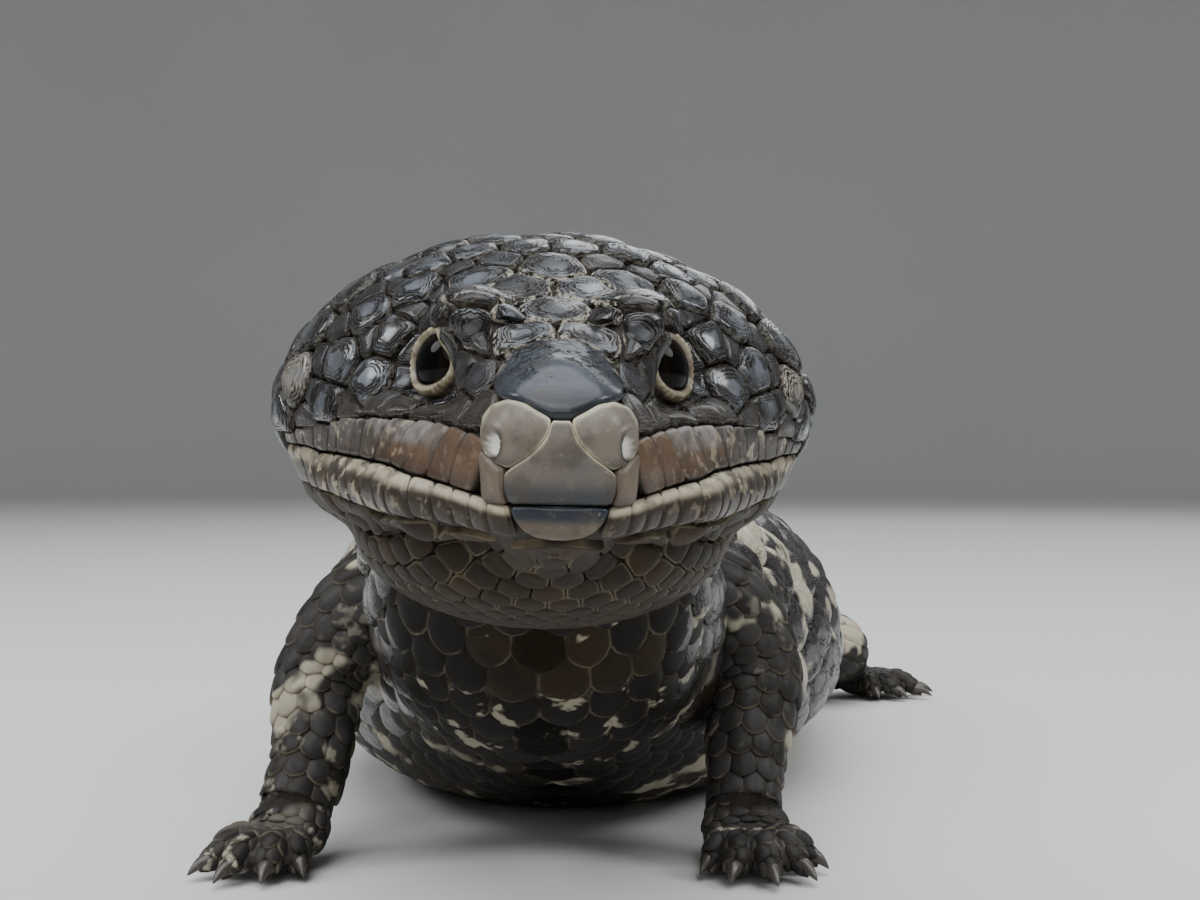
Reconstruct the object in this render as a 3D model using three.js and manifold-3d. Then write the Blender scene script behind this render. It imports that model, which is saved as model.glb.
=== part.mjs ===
// A shingleback, the stump-tailed blue-tongued skink, as a still life-size model.
// It stands on its front feet with the head level and the belly resting behind.
// Millimetres, +Z up. The head faces -Y and the animal's left side is +X.
// The origin is on the floor, in the middle of the flat under the belly.
import * as THREE from "three";
import { mergeVertices } from "three/addons/utils/BufferGeometryUtils.js";
import Module from "manifold-3d";

const wasm = await Module();
wasm.setup();
const { degToRad, clamp, smoothstep } = THREE.MathUtils;
const point = (x, y, z) => new THREE.Vector3(x, y, z);

// Driving sizes
const GAP = 0.3; // between touching pieces
const SNOUT_Y = -200; // the snout tip, in front of the origin
const MOUTH_HEIGHT = 51; // the mouth line at the snout, above the floor
const HEAD_YAW = degToRad(3.6);
const HEAD_ROLL = degToRad(1.2);
const HEAD_BACK = 60; // distances behind the snout at which the body is parted
const NECK_END = 88;
const WAIST = 178;
const VENT = 288;
const TAIL_TIP = 364;
const MOUTH_CORNER = 43; // the corner of the mouth, behind the snout
const JAW_BACK = 48; // the back of the lower jaw, under the throat
const LIP_RISE = 4.3; // how far the mouth line climbs from snout to corner
const LIP_BEND = 16; // the length over which it climbs
const EYE_RADIUS = 4.1;
const EYE = point(7.9, 21, 11.2); // its centre, in the head's frame
const EYE_FACING = point(0.87, -0.5, 0.05).normalize();
const EYE_OPENING = [2.9, 2.65]; // half its length and half its height
const LID_OUT = 3.1; // from the eye's centre to the middle of the lids
const EAR = point(23, 52.5, 6);
const NOSTRIL = point(4.3, 0.4, 4.6);
const COLUMNS = 16; // scutes round the trunk, belly included
const SCUTE_RISE = 2.2; // height of a scute's free edge on the back
const PLATE_RISE = 0.9; // height of the middle of a head plate
const PLATE_EDGE = 0.45; // height of its edge
const GROOVE = 0.7; // between head plates

// The trunk: distance behind the snout, sideways bend, half width, then the
// heights of its underside, of its widest line and of its back.
const TRUNK = [
  [44, -2.7, 18, 44, 56, 70],
  [58, -3.6, 19, 40, 54.5, 70],
  [72, -4.2, 19.8, 31.5, 47, 64.5],
  [88, -4.2, 21, 19, 39, 58],
  [108, -3.6, 23.5, 11, 32, 54],
  [135, -3, 34, 2, 25, 53],
  [165, -1, 42, -3, 21, 52],
  [200, 2, 44, -3, 20, 51],
  [235, 6, 39, -3, 19, 48],
  [262, 8, 31, -2.5, 17, 42],
  [288, 7, 22.5, -2, 14.5, 33],
  [312, 3, 21.5, -1.5, 13, 29],
  [336, -3, 19, -1.5, 11.5, 25],
  [354, -9, 13, 0.5, 10.5, 19.5],
  [364, -12, 5, 4, 9.5, 14],
];

// A smooth curve through a table's rows: the value in the given column at s.
function profile(table, column) {
  const last = table.length - 1;
  const slope = (i) => {
    const a = table[Math.max(i - 1, 0)];
    const b = table[Math.min(i + 1, last)];
    return (b[column] - a[column]) / (b[0] - a[0]);
  };
  return (s) => {
    let i = 0;
    while (i < last - 1 && s > table[i + 1][0]) i++;
    const [a, b] = [table[i], table[i + 1]];
    const span = b[0] - a[0];
    const t = clamp((s - a[0]) / span, 0, 1);
    const rise = b[column] - a[column];
    const bend = t * (1 - t);
    return (
      a[column] +
      rise * t * t * (3 - 2 * t) +
      span * bend * (slope(i) * (1 - t) - slope(i + 1) * t)
    );
  };
}
const [bendAt, widthAt, lowAt, wideAt, highAt] = [1, 2, 3, 4, 5].map((column) =>
  profile(TRUNK, column),
);

// Solids

// A closed three.js geometry as a solid, with its shared vertices merged and
// its faces pointing out.
function solid(geometry, matrix = new THREE.Matrix4()) {
  const bare = geometry.index ? geometry.toNonIndexed() : geometry.clone();
  const shape = new THREE.BufferGeometry()
    .setAttribute("position", bare.getAttribute("position"))
    .applyMatrix4(matrix);
  const merged = mergeVertices(shape, 1e-4);
  const index = merged.index.array;
  const build = (flip) => {
    const kept = [];
    for (let i = 0; i < index.length; i += 3) {
      const [a, b, c] = index.slice(i, i + 3);
      if (a !== b && b !== c && c !== a) kept.push(a, flip ? c : b, flip ? b : c);
    }
    return new wasm.Manifold(
      new wasm.Mesh({
        numProp: 3,
        vertProperties: merged.attributes.position.array,
        triVerts: new Uint32Array(kept),
      }),
    );
  };
  const first = build(false);
  return first.volume() < 0 ? build(true) : first;
}

// The largest closed body of a solid, as a geometry.
function geometryOf(shape) {
  const bodies = shape.decompose();
  bodies.sort((a, b) => b.volume() - a.volume());
  const mesh = bodies[0].getMesh();
  return new THREE.BufferGeometry()
    .setAttribute(
      "position",
      new THREE.BufferAttribute(new Float32Array(mesh.vertProperties), 3),
    )
    .setIndex(new THREE.BufferAttribute(new Uint32Array(mesh.triVerts), 1));
}

// A box between two corners.
function boxSolid(low, high, matrix) {
  const size = point(...high).sub(point(...low));
  const box = new THREE.BoxGeometry(size.x, size.y, size.z);
  box.translate(low[0] + size.x / 2, low[1] + size.y / 2, low[2] + size.z / 2);
  return solid(box, matrix);
}

// A closed round limb along a curve, from a cylinder whose rings are moved.
function limb(points, radii, sides, steps, flatten = 1) {
  const curve = new THREE.CatmullRomCurve3(points);
  const { normals, binormals } = curve.computeFrenetFrames(steps);
  const radiusAt = profile(
    radii.map((r, i) => [i / (radii.length - 1), r]),
    1,
  );
  const tube = new THREE.CylinderGeometry(1, 1, 1, sides, steps);
  const place = tube.getAttribute("position");
  for (let i = 0; i < place.count; i++) {
    const t = 0.5 - place.getY(i);
    const step = Math.round(t * steps);
    const centre = curve.getPointAt(t);
    centre.addScaledVector(normals[step], place.getX(i) * radiusAt(t) * flatten);
    centre.addScaledVector(binormals[step], place.getZ(i) * radiusAt(t));
    place.setXYZ(i, centre.x, centre.y, centre.z);
  }
  return solid(tube);
}

// An ellipsoid, turned so that its Z axis follows a direction.
function ball(centre, radii, across, down, facing = point(0, 0, 1)) {
  const turn = new THREE.Quaternion().setFromUnitVectors(point(0, 0, 1), facing);
  const matrix = new THREE.Matrix4().compose(centre, turn, point(...radii));
  return solid(new THREE.SphereGeometry(1, across, down), matrix);
}

// A round or oval post whose axis follows a direction.
function post(centre, facing, radii, length, sides) {
  const turn = new THREE.Quaternion().setFromUnitVectors(point(0, 1, 0), facing);
  const size = point(radii[0], length, radii[1]);
  const matrix = new THREE.Matrix4().compose(centre, turn, size);
  return solid(new THREE.CylinderGeometry(1, 1, 1, sides), matrix);
}

const mirrored = (p, side) => point(p.x * side, p.y, p.z);

// Trunk

// A point on the trunk, s behind the snout and at an angle from the back's
// middle line towards the left side.
function trunkPoint(s, angle) {
  const [c, d] = [Math.cos(angle), Math.sin(angle)];
  const power = c > 0 ? 0.95 : 0.9;
  const wide = wideAt(s);
  const reach = c > 0 ? highAt(s) - wide : wide - lowAt(s);
  return point(
    bendAt(s) + widthAt(s) * Math.sign(d) * Math.abs(d) ** power,
    s + SNOUT_Y,
    wide + reach * Math.sign(c) * Math.abs(c) ** power,
  );
}

function trunkNormal(s, angle) {
  const step = 0.05;
  const along = trunkPoint(s + step, angle).sub(trunkPoint(s - step, angle));
  const round = trunkPoint(s, angle + step).sub(trunkPoint(s, angle - step));
  return round.cross(along).normalize();
}

// Smooth ground round the roots of the legs: distance behind the snout of its
// middle, and its radius.
const LEG_ROOTS = [[112, 11], [260, 12]];

// How far a scute stands up: full over the back, none under the belly or round
// the legs.
function scuteRise(s, angle) {
  const turn = Math.abs(Math.atan2(Math.sin(angle), Math.cos(angle)));
  let share = 1 - smoothstep(turn, 1.6, 2.1);
  for (const [root, radius] of LEG_ROOTS) {
    const far = Math.hypot(s - root, (turn - Math.PI / 2) * widthAt(s));
    share *= smoothstep(far, radius, 1.5 * radius);
  }
  return SCUTE_RISE * share * Math.min(1, widthAt(s) / 26);
}

// The rows of scutes: each row's length grows with the trunk's width.
function scuteRows() {
  const rows = [TRUNK[0][0]];
  while (rows.at(-1) < TAIL_TIP) {
    rows.push(rows.at(-1) + 5.5 + 0.17 * widthAt(rows.at(-1)));
  }
  rows[rows.length - 1] = TAIL_TIP;
  return rows;
}

// The trunk as one closed surface of overlapping scutes in staggered rows.
// A site is a corner of the pattern. Its high point is a scute's free edge and
// its low point is the skin under that edge. A grown trunk has no space under
// the free edges, so that it holds the whole trunk and its gap.
function trunkSolid(grow = 0) {
  const rows = scuteRows();
  const notch = 0.42; // depth of a scute's pointed rear edge, in rows
  const overhang = 0.09; // how far the free edge reaches back, in rows
  const tip = 1.1; // how much higher its pointed tip is, as a share
  const locate = (v, u) => {
    const row = clamp(Math.floor(u), 0, rows.length - 2);
    const length = rows[row + 1] - rows[row];
    return { angle: (2 * Math.PI * v) / COLUMNS, s: rows[row] + (u - row) * length, length };
  };
  const riseAt = (v, u) => {
    const { angle, s } = locate(v, u);
    return scuteRise(s, angle);
  };
  const site = (v, u, share = 0) => {
    const { angle, s, length } = locate(v, u);
    const rise = share * scuteRise(s, angle);
    const under = overhang * length * (grow > 0 ? tip : rise > 0 ? share : 0);
    const reach = under + grow;
    const place = clamp(s + reach, TRUNK[0][0], TAIL_TIP);
    const p = trunkPoint(place, angle);
    p.addScaledVector(trunkNormal(place, angle), rise + grow);
    p.z = Math.max(p.z, -grow);
    return p;
  };
  // A side of a scute between two sites, with a rounding site on the torso's back.
  const edge = (from, round, to) => {
    const { s } = locate(...round);
    const rounded = s > NECK_END && s < VENT && riseAt(...round) > SCUTE_RISE / 2;
    return rounded ? [from, round, to] : [from, to];
  };
  const corners = [];
  const centreOf = (s) => point(bendAt(s), s + SNOUT_Y, wideAt(s));
  for (let row = 0; row < rows.length - 1; row++) {
    const last = row === rows.length - 2;
    for (let column = 0; column < COLUMNS; column++) {
      const v = column + (row % 2) / 2;
      const front = [
        ...edge([v - 0.5, row], [v - 0.23, row - 0.3 * notch], [v, row - notch]),
        ...edge([v, row - notch], [v + 0.23, row - 0.3 * notch], [v + 0.5, row]).slice(1),
      ];
      const rear = [
        ...edge(
          [v + 0.5, row + 1 - notch, 0.75],
          [v + 0.27, row + 1 - 0.3 * notch, 0.95],
          [v, row + 1, tip],
        ),
        ...edge(
          [v, row + 1, tip],
          [v - 0.27, row + 1 - 0.3 * notch, 0.95],
          [v - 0.5, row + 1 - notch, 0.75],
        ).slice(1),
      ];
      const low = rear.map(([a, b]) => site(a, b));
      const ring = [...front.map(([a, b]) => site(a, b)), ...rear.map((r) => site(...r))];
      if (ring.length > 6 || riseAt(v, row + 0.5) > 0.01) {
        const middle = site(v, row + 0.5, 1);
        ring.forEach((p, i) => corners.push(middle, p, ring[(i + 1) % ring.length]));
      } else {
        for (let i = 1; i < ring.length - 1; i++) corners.push(ring[0], ring[i], ring[i + 1]);
      }
      for (let i = 0; i < rear.length - 1; i++) {
        const [a, b] = [ring[front.length + i], ring[front.length + i + 1]];
        corners.push(a, low[i], b, b, low[i], low[i + 1]);
        if (last) corners.push(low[i], centreOf(TAIL_TIP), low[i + 1]);
      }
      for (let i = 0; row === 0 && i < front.length - 1; i++) {
        corners.push(ring[i], centreOf(TRUNK[0][0]), ring[i + 1]);
      }
    }
  }
  return solid(new THREE.BufferGeometry().setFromPoints(corners));
}

// Head
// In the head's own frame x runs sideways, y back from the snout tip and z up
// from the mouth line. Every form is mirrored, so x is a distance from the
// middle. Rounded forms: centre, then radii along x, y and z.
const HEAD_BALLS = {
  cranium: [[0, 42, 8.5], [24.5, 22, 16.8]],
  temple: [[13, 43.5, 8], [13.8, 15, 11.5]],
  brow: [[7.4, 20.5, 14.6], [4.4, 8, 3]],
  nape: [[0, 62, 5.5], [21, 24, 17]],
  throat: [[0, 43, -3], [19, 26, 10.5]],
  nose: [[2.6, 4, 5.2], [3.1, 4.4, 3.4]],
};
// Tapered round bars: one end and its radius, the other end and its radius.
const HEAD_BARS = {
  muzzle: [[0, 7.5, 5], 6, [0, 32, 8], 14],
  rostrum: [[2.6, 2.6, 1.8], 2.9, [4.5, 10, 3], 4.6],
  chin: [[0, 3.4, -0.6], 2.6, [0, 30, -0.5], 9.2],
  lipFront: [[3.2, 2.4, -1.2], 2.1, [10, 11.6, 0.1], 2.7],
  lipMiddle: [[10, 11.6, 0.1], 2.7, [18.2, 32, 1.2], 3.4],
  lipRear: [[18.2, 32, 1.2], 3.4, [20, 43, 1], 4.2],
  cheekFront: [[5.6, 6, 3.4], 2.2, [12, 20, 5.2], 3],
  cheekRear: [[12, 20, 5.2], 3, [21.6, 41, 8], 5],
};
const HEAD_BLEND = 2.2; // how far neighbouring forms melt together

// Distance from a point to the head's surface, negative inside.
function headField(px, py, pz) {
  const x = Math.abs(px);
  let field = Infinity;
  const join = (d) => {
    const near = Math.max(HEAD_BLEND - Math.abs(field - d), 0) / HEAD_BLEND;
    field = Math.min(field, d) - (near * near * HEAD_BLEND) / 4;
  };
  for (const [centre, radii] of Object.values(HEAD_BALLS)) {
    const [a, b, c] = [x - centre[0], py - centre[1], pz - centre[2]];
    const far = Math.hypot(a / radii[0], b / radii[1], c / radii[2]);
    const steep = Math.hypot(a / radii[0] ** 2, b / radii[1] ** 2, c / radii[2] ** 2);
    join(steep > 0 ? (far * (far - 1)) / steep : -Math.min(...radii));
  }
  for (const [a, ra, b, rb] of Object.values(HEAD_BARS)) {
    const [u, v, w] = [b[0] - a[0], b[1] - a[1], b[2] - a[2]];
    const [i, j, k] = [x - a[0], py - a[1], pz - a[2]];
    const share = (i * u + j * v + k * w) / (u * u + v * v + w * w);
    const t = clamp(share, 0, 1);
    join(Math.hypot(i - t * u, j - t * v, k - t * w) - ra - t * (rb - ra));
  }
  return field;
}

function headNormal(p) {
  const e = 0.1;
  return point(
    headField(p.x + e, p.y, p.z) - headField(p.x - e, p.y, p.z),
    headField(p.x, p.y + e, p.z) - headField(p.x, p.y - e, p.z),
    headField(p.x, p.y, p.z + e) - headField(p.x, p.y, p.z - e),
  ).normalize();
}

// The outermost point of the head on a ray from an inner point.
function headSurface(inner, direction) {
  let far = 60; // well outside the head
  const p = point(0, 0, 0);
  for (let step = 0; step < 90; step++) {
    p.copy(inner).addScaledVector(direction, far);
    const d = headField(p.x, p.y, p.z);
    if (d < 0.005) break;
    far -= 0.7 * d;
  }
  return p;
}

// The nearest point of the head to a guess.
function ontoHead(guess) {
  const p = guess.clone();
  for (let step = 0; step < 12; step++) {
    p.addScaledVector(headNormal(p), -0.8 * headField(p.x, p.y, p.z));
  }
  return p;
}

// The head's skin: a sphere whose rings are pushed onto the forms. Its front
// rings fan out from inside the snout and the others stand along the axis.
function headCore() {
  const front = { axis: point(0, 8, 3), share: 0.3 };
  const rear = { axis: point(0, 66, 5), share: 0.94 };
  const skin = new THREE.SphereGeometry(1, 24, 20);
  const place = skin.getAttribute("position");
  for (let i = 0; i < place.count; i++) {
    const round = Math.atan2(place.getX(i), place.getZ(i));
    const along = Math.acos(clamp(place.getY(i), -1, 1)) / Math.PI;
    const fan = (Math.min(along / front.share, 1) * Math.PI) / 2;
    const slide = clamp((along - front.share) / (rear.share - front.share), 0, 1);
    const inner = front.axis.clone().lerp(rear.axis, slide);
    const direction = point(
      Math.sin(fan) * Math.sin(round),
      -Math.cos(fan),
      Math.sin(fan) * Math.cos(round),
    );
    const p = headSurface(inner, direction);
    if (along > rear.share) p.lerp(inner, (along - rear.share) / (1 - rear.share));
    place.setXYZ(i, p.x, p.y, p.z);
  }
  return solid(skin);
}

// Height of the mouth line, at a distance behind the snout.
const lipHeight = (y) => LIP_RISE * (1 - Math.exp(-Math.max(y, 0) / LIP_BEND));

// Where the large shields of the head sit: in the middle line or in pairs.
const SHIELDS = {
  frontonasal: [0, 6.2, 11],
  prefrontal: [3.9, 11, 13],
  loreal: [6.6, 9, 8.2],
  frontal: [0, 17.5, 16.2],
  firstSupraocular: [7, 14.5, 14.4],
  secondSupraocular: [7.6, 21, 17.3],
  frontoparietal: [3.7, 25.5, 19],
  interparietal: [0, 32, 21.4],
  thirdSupraocular: [8, 30, 20.6],
  postocular: [11.6, 27, 17],
  occipital: [0, 40, 24],
  outerOccipital: [6.6, 39, 23.4],
};

// The rows of plates over the temples and the nape: each row is a ring round
// the head, and its plates stand at equal angles, staggered row by row.
function templeSeats() {
  const first = 30;
  const pitch = 6.7;
  const seats = [];
  for (let row = 0; row < 5; row++) {
    const y = first + row * pitch;
    const steps = row % 2 ? [14, 31, 48, 64, 80] : [6, 22, 39, 56, 72, 90];
    const highest = row < 1 ? 40 : row < 2 ? 58 : 90;
    for (const step of steps.filter((angle) => angle <= highest)) {
      const angle = degToRad(step);
      const direction = point(Math.cos(angle), 0, Math.sin(angle));
      seats.push(headSurface(point(0, y, 8), direction));
    }
  }
  return seats;
}

// The row of scales along a lip, each a short rounded bar along the lip.
function lipScales(side, offset, radii) {
  const pitch = 5.4;
  const scales = [];
  const at = (y) => headSurface(point(0, y, lipHeight(y) + offset), point(1, 0, 0));
  for (let y = 5; y < MOUTH_CORNER - 1; y += pitch) {
    const [a, b] = [at(y - pitch / 2), at(y + pitch / 2)];
    const along = b.clone().sub(a);
    const length = along.length() - GROOVE;
    along.normalize();
    const share = y / MOUTH_CORNER;
    const size = radii[0] + (radii[1] - radii[0]) * share;
    const inward = headNormal(at(y)).multiplyScalar(PLATE_EDGE - size * 0.8);
    const centre = at(y).add(inward);
    scales.push(post(mirrored(centre, side), mirrored(along, side), [size * 0.8, size], length, 6));
  }
  return scales;
}

// The upright shields on the front of the snout, as drawn from in front: the
// rostral in the middle line and the nasal beside and over it.
const ROSTRAL = [[-3.7, 0.5], [3.7, 0.5], [3.6, 3.1], [0.4, 6.7], [-0.4, 6.7], [-3.6, 3.1]];
const NASAL = [[4.3, 3], [5.6, 3.9], [5.3, 7.3], [3.2, 8.3], [0.9, 7.2]];
function snoutShield(outline, tilt, turn) {
  const shape = new THREE.Shape(outline.map(([x, z]) => new THREE.Vector2(x, z)));
  const slab = new THREE.ExtrudeGeometry(shape, {
    depth: 1.6,
    bevelThickness: 0.4,
    bevelSize: 0.3,
    bevelOffset: -0.3,
    bevelSegments: 1,
  });
  slab.rotateX(Math.PI / 2 + degToRad(tilt));
  slab.rotateZ(degToRad(turn));
  return solid(slab, new THREE.Matrix4().makeTranslation(0, 1.1, 0));
}
function snoutShields() {
  const flip = (outline) => outline.map(([x, z]) => [-x, z]).reverse();
  return [
    snoutShield(ROSTRAL, 0, 0),
    snoutShield(NASAL, -6, 12),
    snoutShield(flip(NASAL), -6, -12),
  ];
}

// Every seat of a plate on the left half, mirrored onto the right.
function plateSeats() {
  const half = [
    ...Object.values(SHIELDS).map((seat) => ontoHead(point(...seat))),
    ...templeSeats(),
  ];
  const seats = [];
  for (const seat of half) {
    seats.push(seat);
    if (seat.x > 0.8) seats.push(mirrored(seat, -1));
  }
  return seats;
}

// The eyes and ears keep the plates off, to a clear distance.
const OPENINGS = [1, -1].flatMap((side) => [
  Object.assign(mirrored(ontoHead(EYE.clone().addScaledVector(EYE_FACING, 4)), side), { clear: 4.4 }),
  Object.assign(mirrored(ontoHead(EAR), side), { clear: 3.6 }),
]);

// The outline of the ground that is nearer to a seat than to any other seat,
// as points in the plane that touches the head there.
function cellOutline(seat, seats, across, up) {
  const widest = 5.8;
  let outline = [];
  for (let i = 0; i < 8; i++) {
    const turn = (i * Math.PI) / 4;
    outline.push([widest * Math.cos(turn), widest * Math.sin(turn)]);
  }
  for (const other of [...seats, ...OPENINGS]) {
    const apart = other.clone().sub(seat);
    if (other === seat || apart.length() > 3 * widest) continue;
    const [a, b] = [apart.dot(across), apart.dot(up)];
    const far = Math.hypot(a, b);
    const limit = other.clear ? far - other.clear : (far - GROOVE) / 2;
    const inside = ([x, y]) => (x * a + y * b) / far - limit;
    const kept = [];
    outline.forEach((p, i) => {
      const q = outline[(i + 1) % outline.length];
      const [dp, dq] = [inside(p), inside(q)];
      if (dp <= 0) kept.push(p);
      if (dp < 0 !== dq < 0) {
        const t = dp / (dp - dq);
        kept.push([p[0] + t * (q[0] - p[0]), p[1] + t * (q[1] - p[1])]);
      }
    });
    outline = kept;
  }
  const shortest = 1.3; // closer corners become one
  return outline.filter(([x, y], i) => {
    const [u, v] = outline[(i + 1) % outline.length];
    return Math.hypot(x - u, y - v) > shortest;
  });
}

// One head plate: a drum whose rings lie over and under the head's surface.
function headPlate(seat, seats) {
  const normal = headNormal(seat);
  const across = point(0, 1, 0.3).cross(normal).normalize();
  const up = normal.clone().cross(across);
  const outline = cellOutline(seat, seats, across, up);
  const sides = outline.length;
  const ground = Math.abs(THREE.ShapeUtils.area(outline.map((p) => new THREE.Vector2(...p))));
  if (ground < 9) return null; // too small to be a plate of its own
  const drum = new THREE.CylinderGeometry(1, 1, 2, sides, 1);
  const place = drum.getAttribute("position");
  const root = -1.6;
  for (let i = 0; i < place.count; i++) {
    const middle = Math.hypot(place.getX(i), place.getZ(i)) < 0.5;
    const turn = Math.atan2(place.getX(i), place.getZ(i)) / (2 * Math.PI);
    const [a, b] = outline[((Math.round(turn * sides) % sides) + sides) % sides];
    const share = middle ? 0 : 1;
    const guess = seat.clone().addScaledVector(across, share * a);
    guess.addScaledVector(up, share * b);
    const p = ontoHead(guess);
    const top = middle ? PLATE_RISE : PLATE_EDGE;
    p.addScaledVector(headNormal(p), place.getY(i) > 0 ? top : root);
    place.setXYZ(i, p.x, p.y, p.z);
  }
  return solid(drum);
}

// A region behind the drawn outline in side view, as wide as the head.
function sideRegion(outline) {
  const shape = new THREE.Shape(outline.map(([y, z]) => new THREE.Vector2(y, z)));
  const block = new THREE.ExtrudeGeometry(shape, { depth: 80, bevelEnabled: false });
  const turn = new THREE.Matrix4().makeBasis(point(0, 1, 0), point(0, 0, 1), point(1, 0, 0));
  return solid(block, new THREE.Matrix4().makeTranslation(-40, 0, 0).multiply(turn));
}

// All that lies under the mouth line, larger by a margin.
function jawRegion(margin) {
  const outline = [[-10, -40]];
  outline.push([-10, lipHeight(0) + margin]);
  for (let y = 0; y < MOUTH_CORNER; y += 6) outline.push([y, lipHeight(y) + margin]);
  outline.push([MOUTH_CORNER + margin, lipHeight(MOUTH_CORNER) + margin]);
  outline.push([MOUTH_CORNER + 1 + margin, lipHeight(MOUTH_CORNER) - 4]);
  outline.push([JAW_BACK + margin, -40]);
  return sideRegion(outline);
}

// Eyes, lids, ears and nostrils, for one side of the head
const eyeball = (side, margin = 0) => {
  const radius = EYE_RADIUS + margin;
  const facing = mirrored(EYE_FACING, side);
  return ball(mirrored(EYE, side), [radius, radius, radius], 12, 8, facing);
};
function lids(side) {
  const facing = mirrored(EYE_FACING, side);
  const turn = new THREE.Quaternion().setFromUnitVectors(point(0, 0, 1), facing);
  const centre = mirrored(EYE, side).addScaledVector(facing, LID_OUT);
  const ring = new THREE.TorusGeometry(1, 0.25, 5, 14);
  const size = point(EYE_OPENING[0] + 0.6, EYE_OPENING[1] + 0.6, 3.2);
  return solid(ring, new THREE.Matrix4().compose(centre, turn, size));
}
function eyeSocket(side) {
  const facing = mirrored(EYE_FACING, side);
  const mouth = mirrored(EYE, side).addScaledVector(facing, EYE_RADIUS + 1);
  return eyeball(side, GAP).add(post(mouth, facing, EYE_OPENING, 2 * EYE_RADIUS, 14));
}
function earPlace(side) {
  const seat = ontoHead(EAR);
  return { seat: mirrored(seat, side), facing: mirrored(headNormal(seat), side) };
}
function earPit(side) {
  const { seat, facing } = earPlace(side);
  return post(seat, facing, [1.7, 3], 5, 12);
}
function eardrum(side) {
  const { seat, facing } = earPlace(side);
  const thickness = 0.8;
  const depth = -2.5 + GAP + thickness / 2;
  const centre = seat.clone().addScaledVector(facing, depth);
  return post(centre, facing, [1.7 - GAP, 3 - GAP], thickness, 12);
}
function nostril(side) {
  const seat = mirrored(ontoHead(NOSTRIL), side);
  return post(seat, headNormal(seat), [0.6, 1], 3, 8);
}

function headSolids() {
  const seats = plateSeats();
  const plates = seats.map((seat) => headPlate(seat, seats)).filter(Boolean);
  const lips = [1, -1].flatMap((side) => [
    ...lipScales(side, 2.9, [1.9, 2.9]),
    ...lipScales(side, -2.3, [1.7, 2.6]),
  ]);
  let whole = wasm.Manifold.union([headCore(), ...plates, ...lips, ...snoutShields()]);
  whole = whole.intersect(boxSolid([-50, -20, -40], [50, HEAD_BACK, 50]));
  const sides = [1, -1];
  whole = wasm.Manifold.union([whole, ...sides.map(lids)]);
  const cuts = sides.flatMap((side) => [eyeSocket(side), earPit(side), nostril(side)]);
  whole = whole.subtract(wasm.Manifold.union(cuts));
  return {
    head: whole.subtract(jawRegion(GAP)),
    jaw: whole.intersect(jawRegion(0)),
  };
}

// Legs

// The joints of each leg: distances sideways from the trunk's middle line,
// behind the snout and above the floor.
const FORELEG = [[8, 111, 37], [22, 114, 34], [28, 114, 24], [26.5, 109, 14], [26, 105, 7.5]];
const HINDLEG = [[18, 262, 17], [34, 257, 16], [45, 254, 13], [48, 262, 10], [49, 270, 6]];
const FORELEG_RADII = [8.6, 8, 6.8, 5.8, 4.8];
const HINDLEG_RADII = [10, 9.2, 7.8, 6.2, 5];

// Toes: direction from the foot's heading towards the outer side, and length.
const FORE_TOES = [[-46, 5], [-20, 7], [4, 8], [28, 7.4], [58, 5.4]];
const HIND_TOES = [[-46, 5.5], [-20, 7.5], [4, 9.5], [28, 9.5], [60, 6.5]];

function legPath(joints, side, lean) {
  return joints.map(([out, s, z], i) => {
    const share = i / (joints.length - 1);
    return point(bendAt(s) + side * out + lean * share, s + SNOUT_Y, z);
  });
}

// A foot: a flattened palm under the wrist, and toes that bend down to the
// floor and end in claws.
function footSolid(wrist, side, heading, palm, toes) {
  const towards = (degrees) => {
    const turn = degToRad(heading + degrees);
    return point(side * Math.sin(turn), -Math.cos(turn), 0);
  };
  const heel = wrist.clone().addScaledVector(towards(0), -0.2 * palm.long);
  const middle = wrist.clone().addScaledVector(towards(0), 0.55 * palm.long);
  const front = wrist.clone().addScaledVector(towards(0), 1.25 * palm.long);
  const spine = [heel.setZ(wrist.z + 1), middle.setZ(palm.height), front.setZ(palm.height * 0.9)];
  const pieces = [limb(spine, [palm.wide * 0.75, palm.wide, palm.wide * 0.6], 8, 4, 0.7)];
  for (const [angle, length] of toes) {
    const reach = palm.wide * 0.5 + length;
    const at = (share, z) => middle.clone().addScaledVector(towards(angle), reach * share).setZ(z);
    const path = [at(0.3, 3.4), at(0.75, 3.7), at(1, 2.2), at(1.35, 0.7)];
    pieces.push(limb(path, [2.5, 2.3, 1.5, 0.2], 6, 4));
  }
  return wasm.Manifold.union(pieces).intersect(boxSolid([-200, -300, 0], [200, 300, 60]));
}

const LEGS = {
  foreleg_left: { joints: FORELEG, radii: FORELEG_RADII, side: 1, lean: 0 },
  foreleg_right: { joints: FORELEG, radii: FORELEG_RADII, side: -1, lean: -8 },
  hindleg_left: { joints: HINDLEG, radii: HINDLEG_RADII, side: 1, lean: 0 },
  hindleg_right: { joints: HINDLEG, radii: HINDLEG_RADII, side: -1, lean: 0 },
};
const FORE_PALM = { wide: 5.8, long: 6, height: 3.6 };
const HIND_PALM = { wide: 6, long: 8, height: 3.6 };

// Assembly
const group = new THREE.Group();
const headGroup = new THREE.Group();
headGroup.position.set(0, SNOUT_Y, MOUTH_HEIGHT);
headGroup.rotation.set(0, HEAD_ROLL, HEAD_YAW);
group.add(headGroup);
headGroup.updateMatrix();

const SKIN = 0x2b2622;
function add(name, shape, colour = SKIN, roughness = 0.5, parent = group) {
  const material = new THREE.MeshStandardMaterial({ color: colour, roughness });
  const mesh = new THREE.Mesh(geometryOf(shape), material);
  mesh.name = name;
  parent.add(mesh);
}

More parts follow.
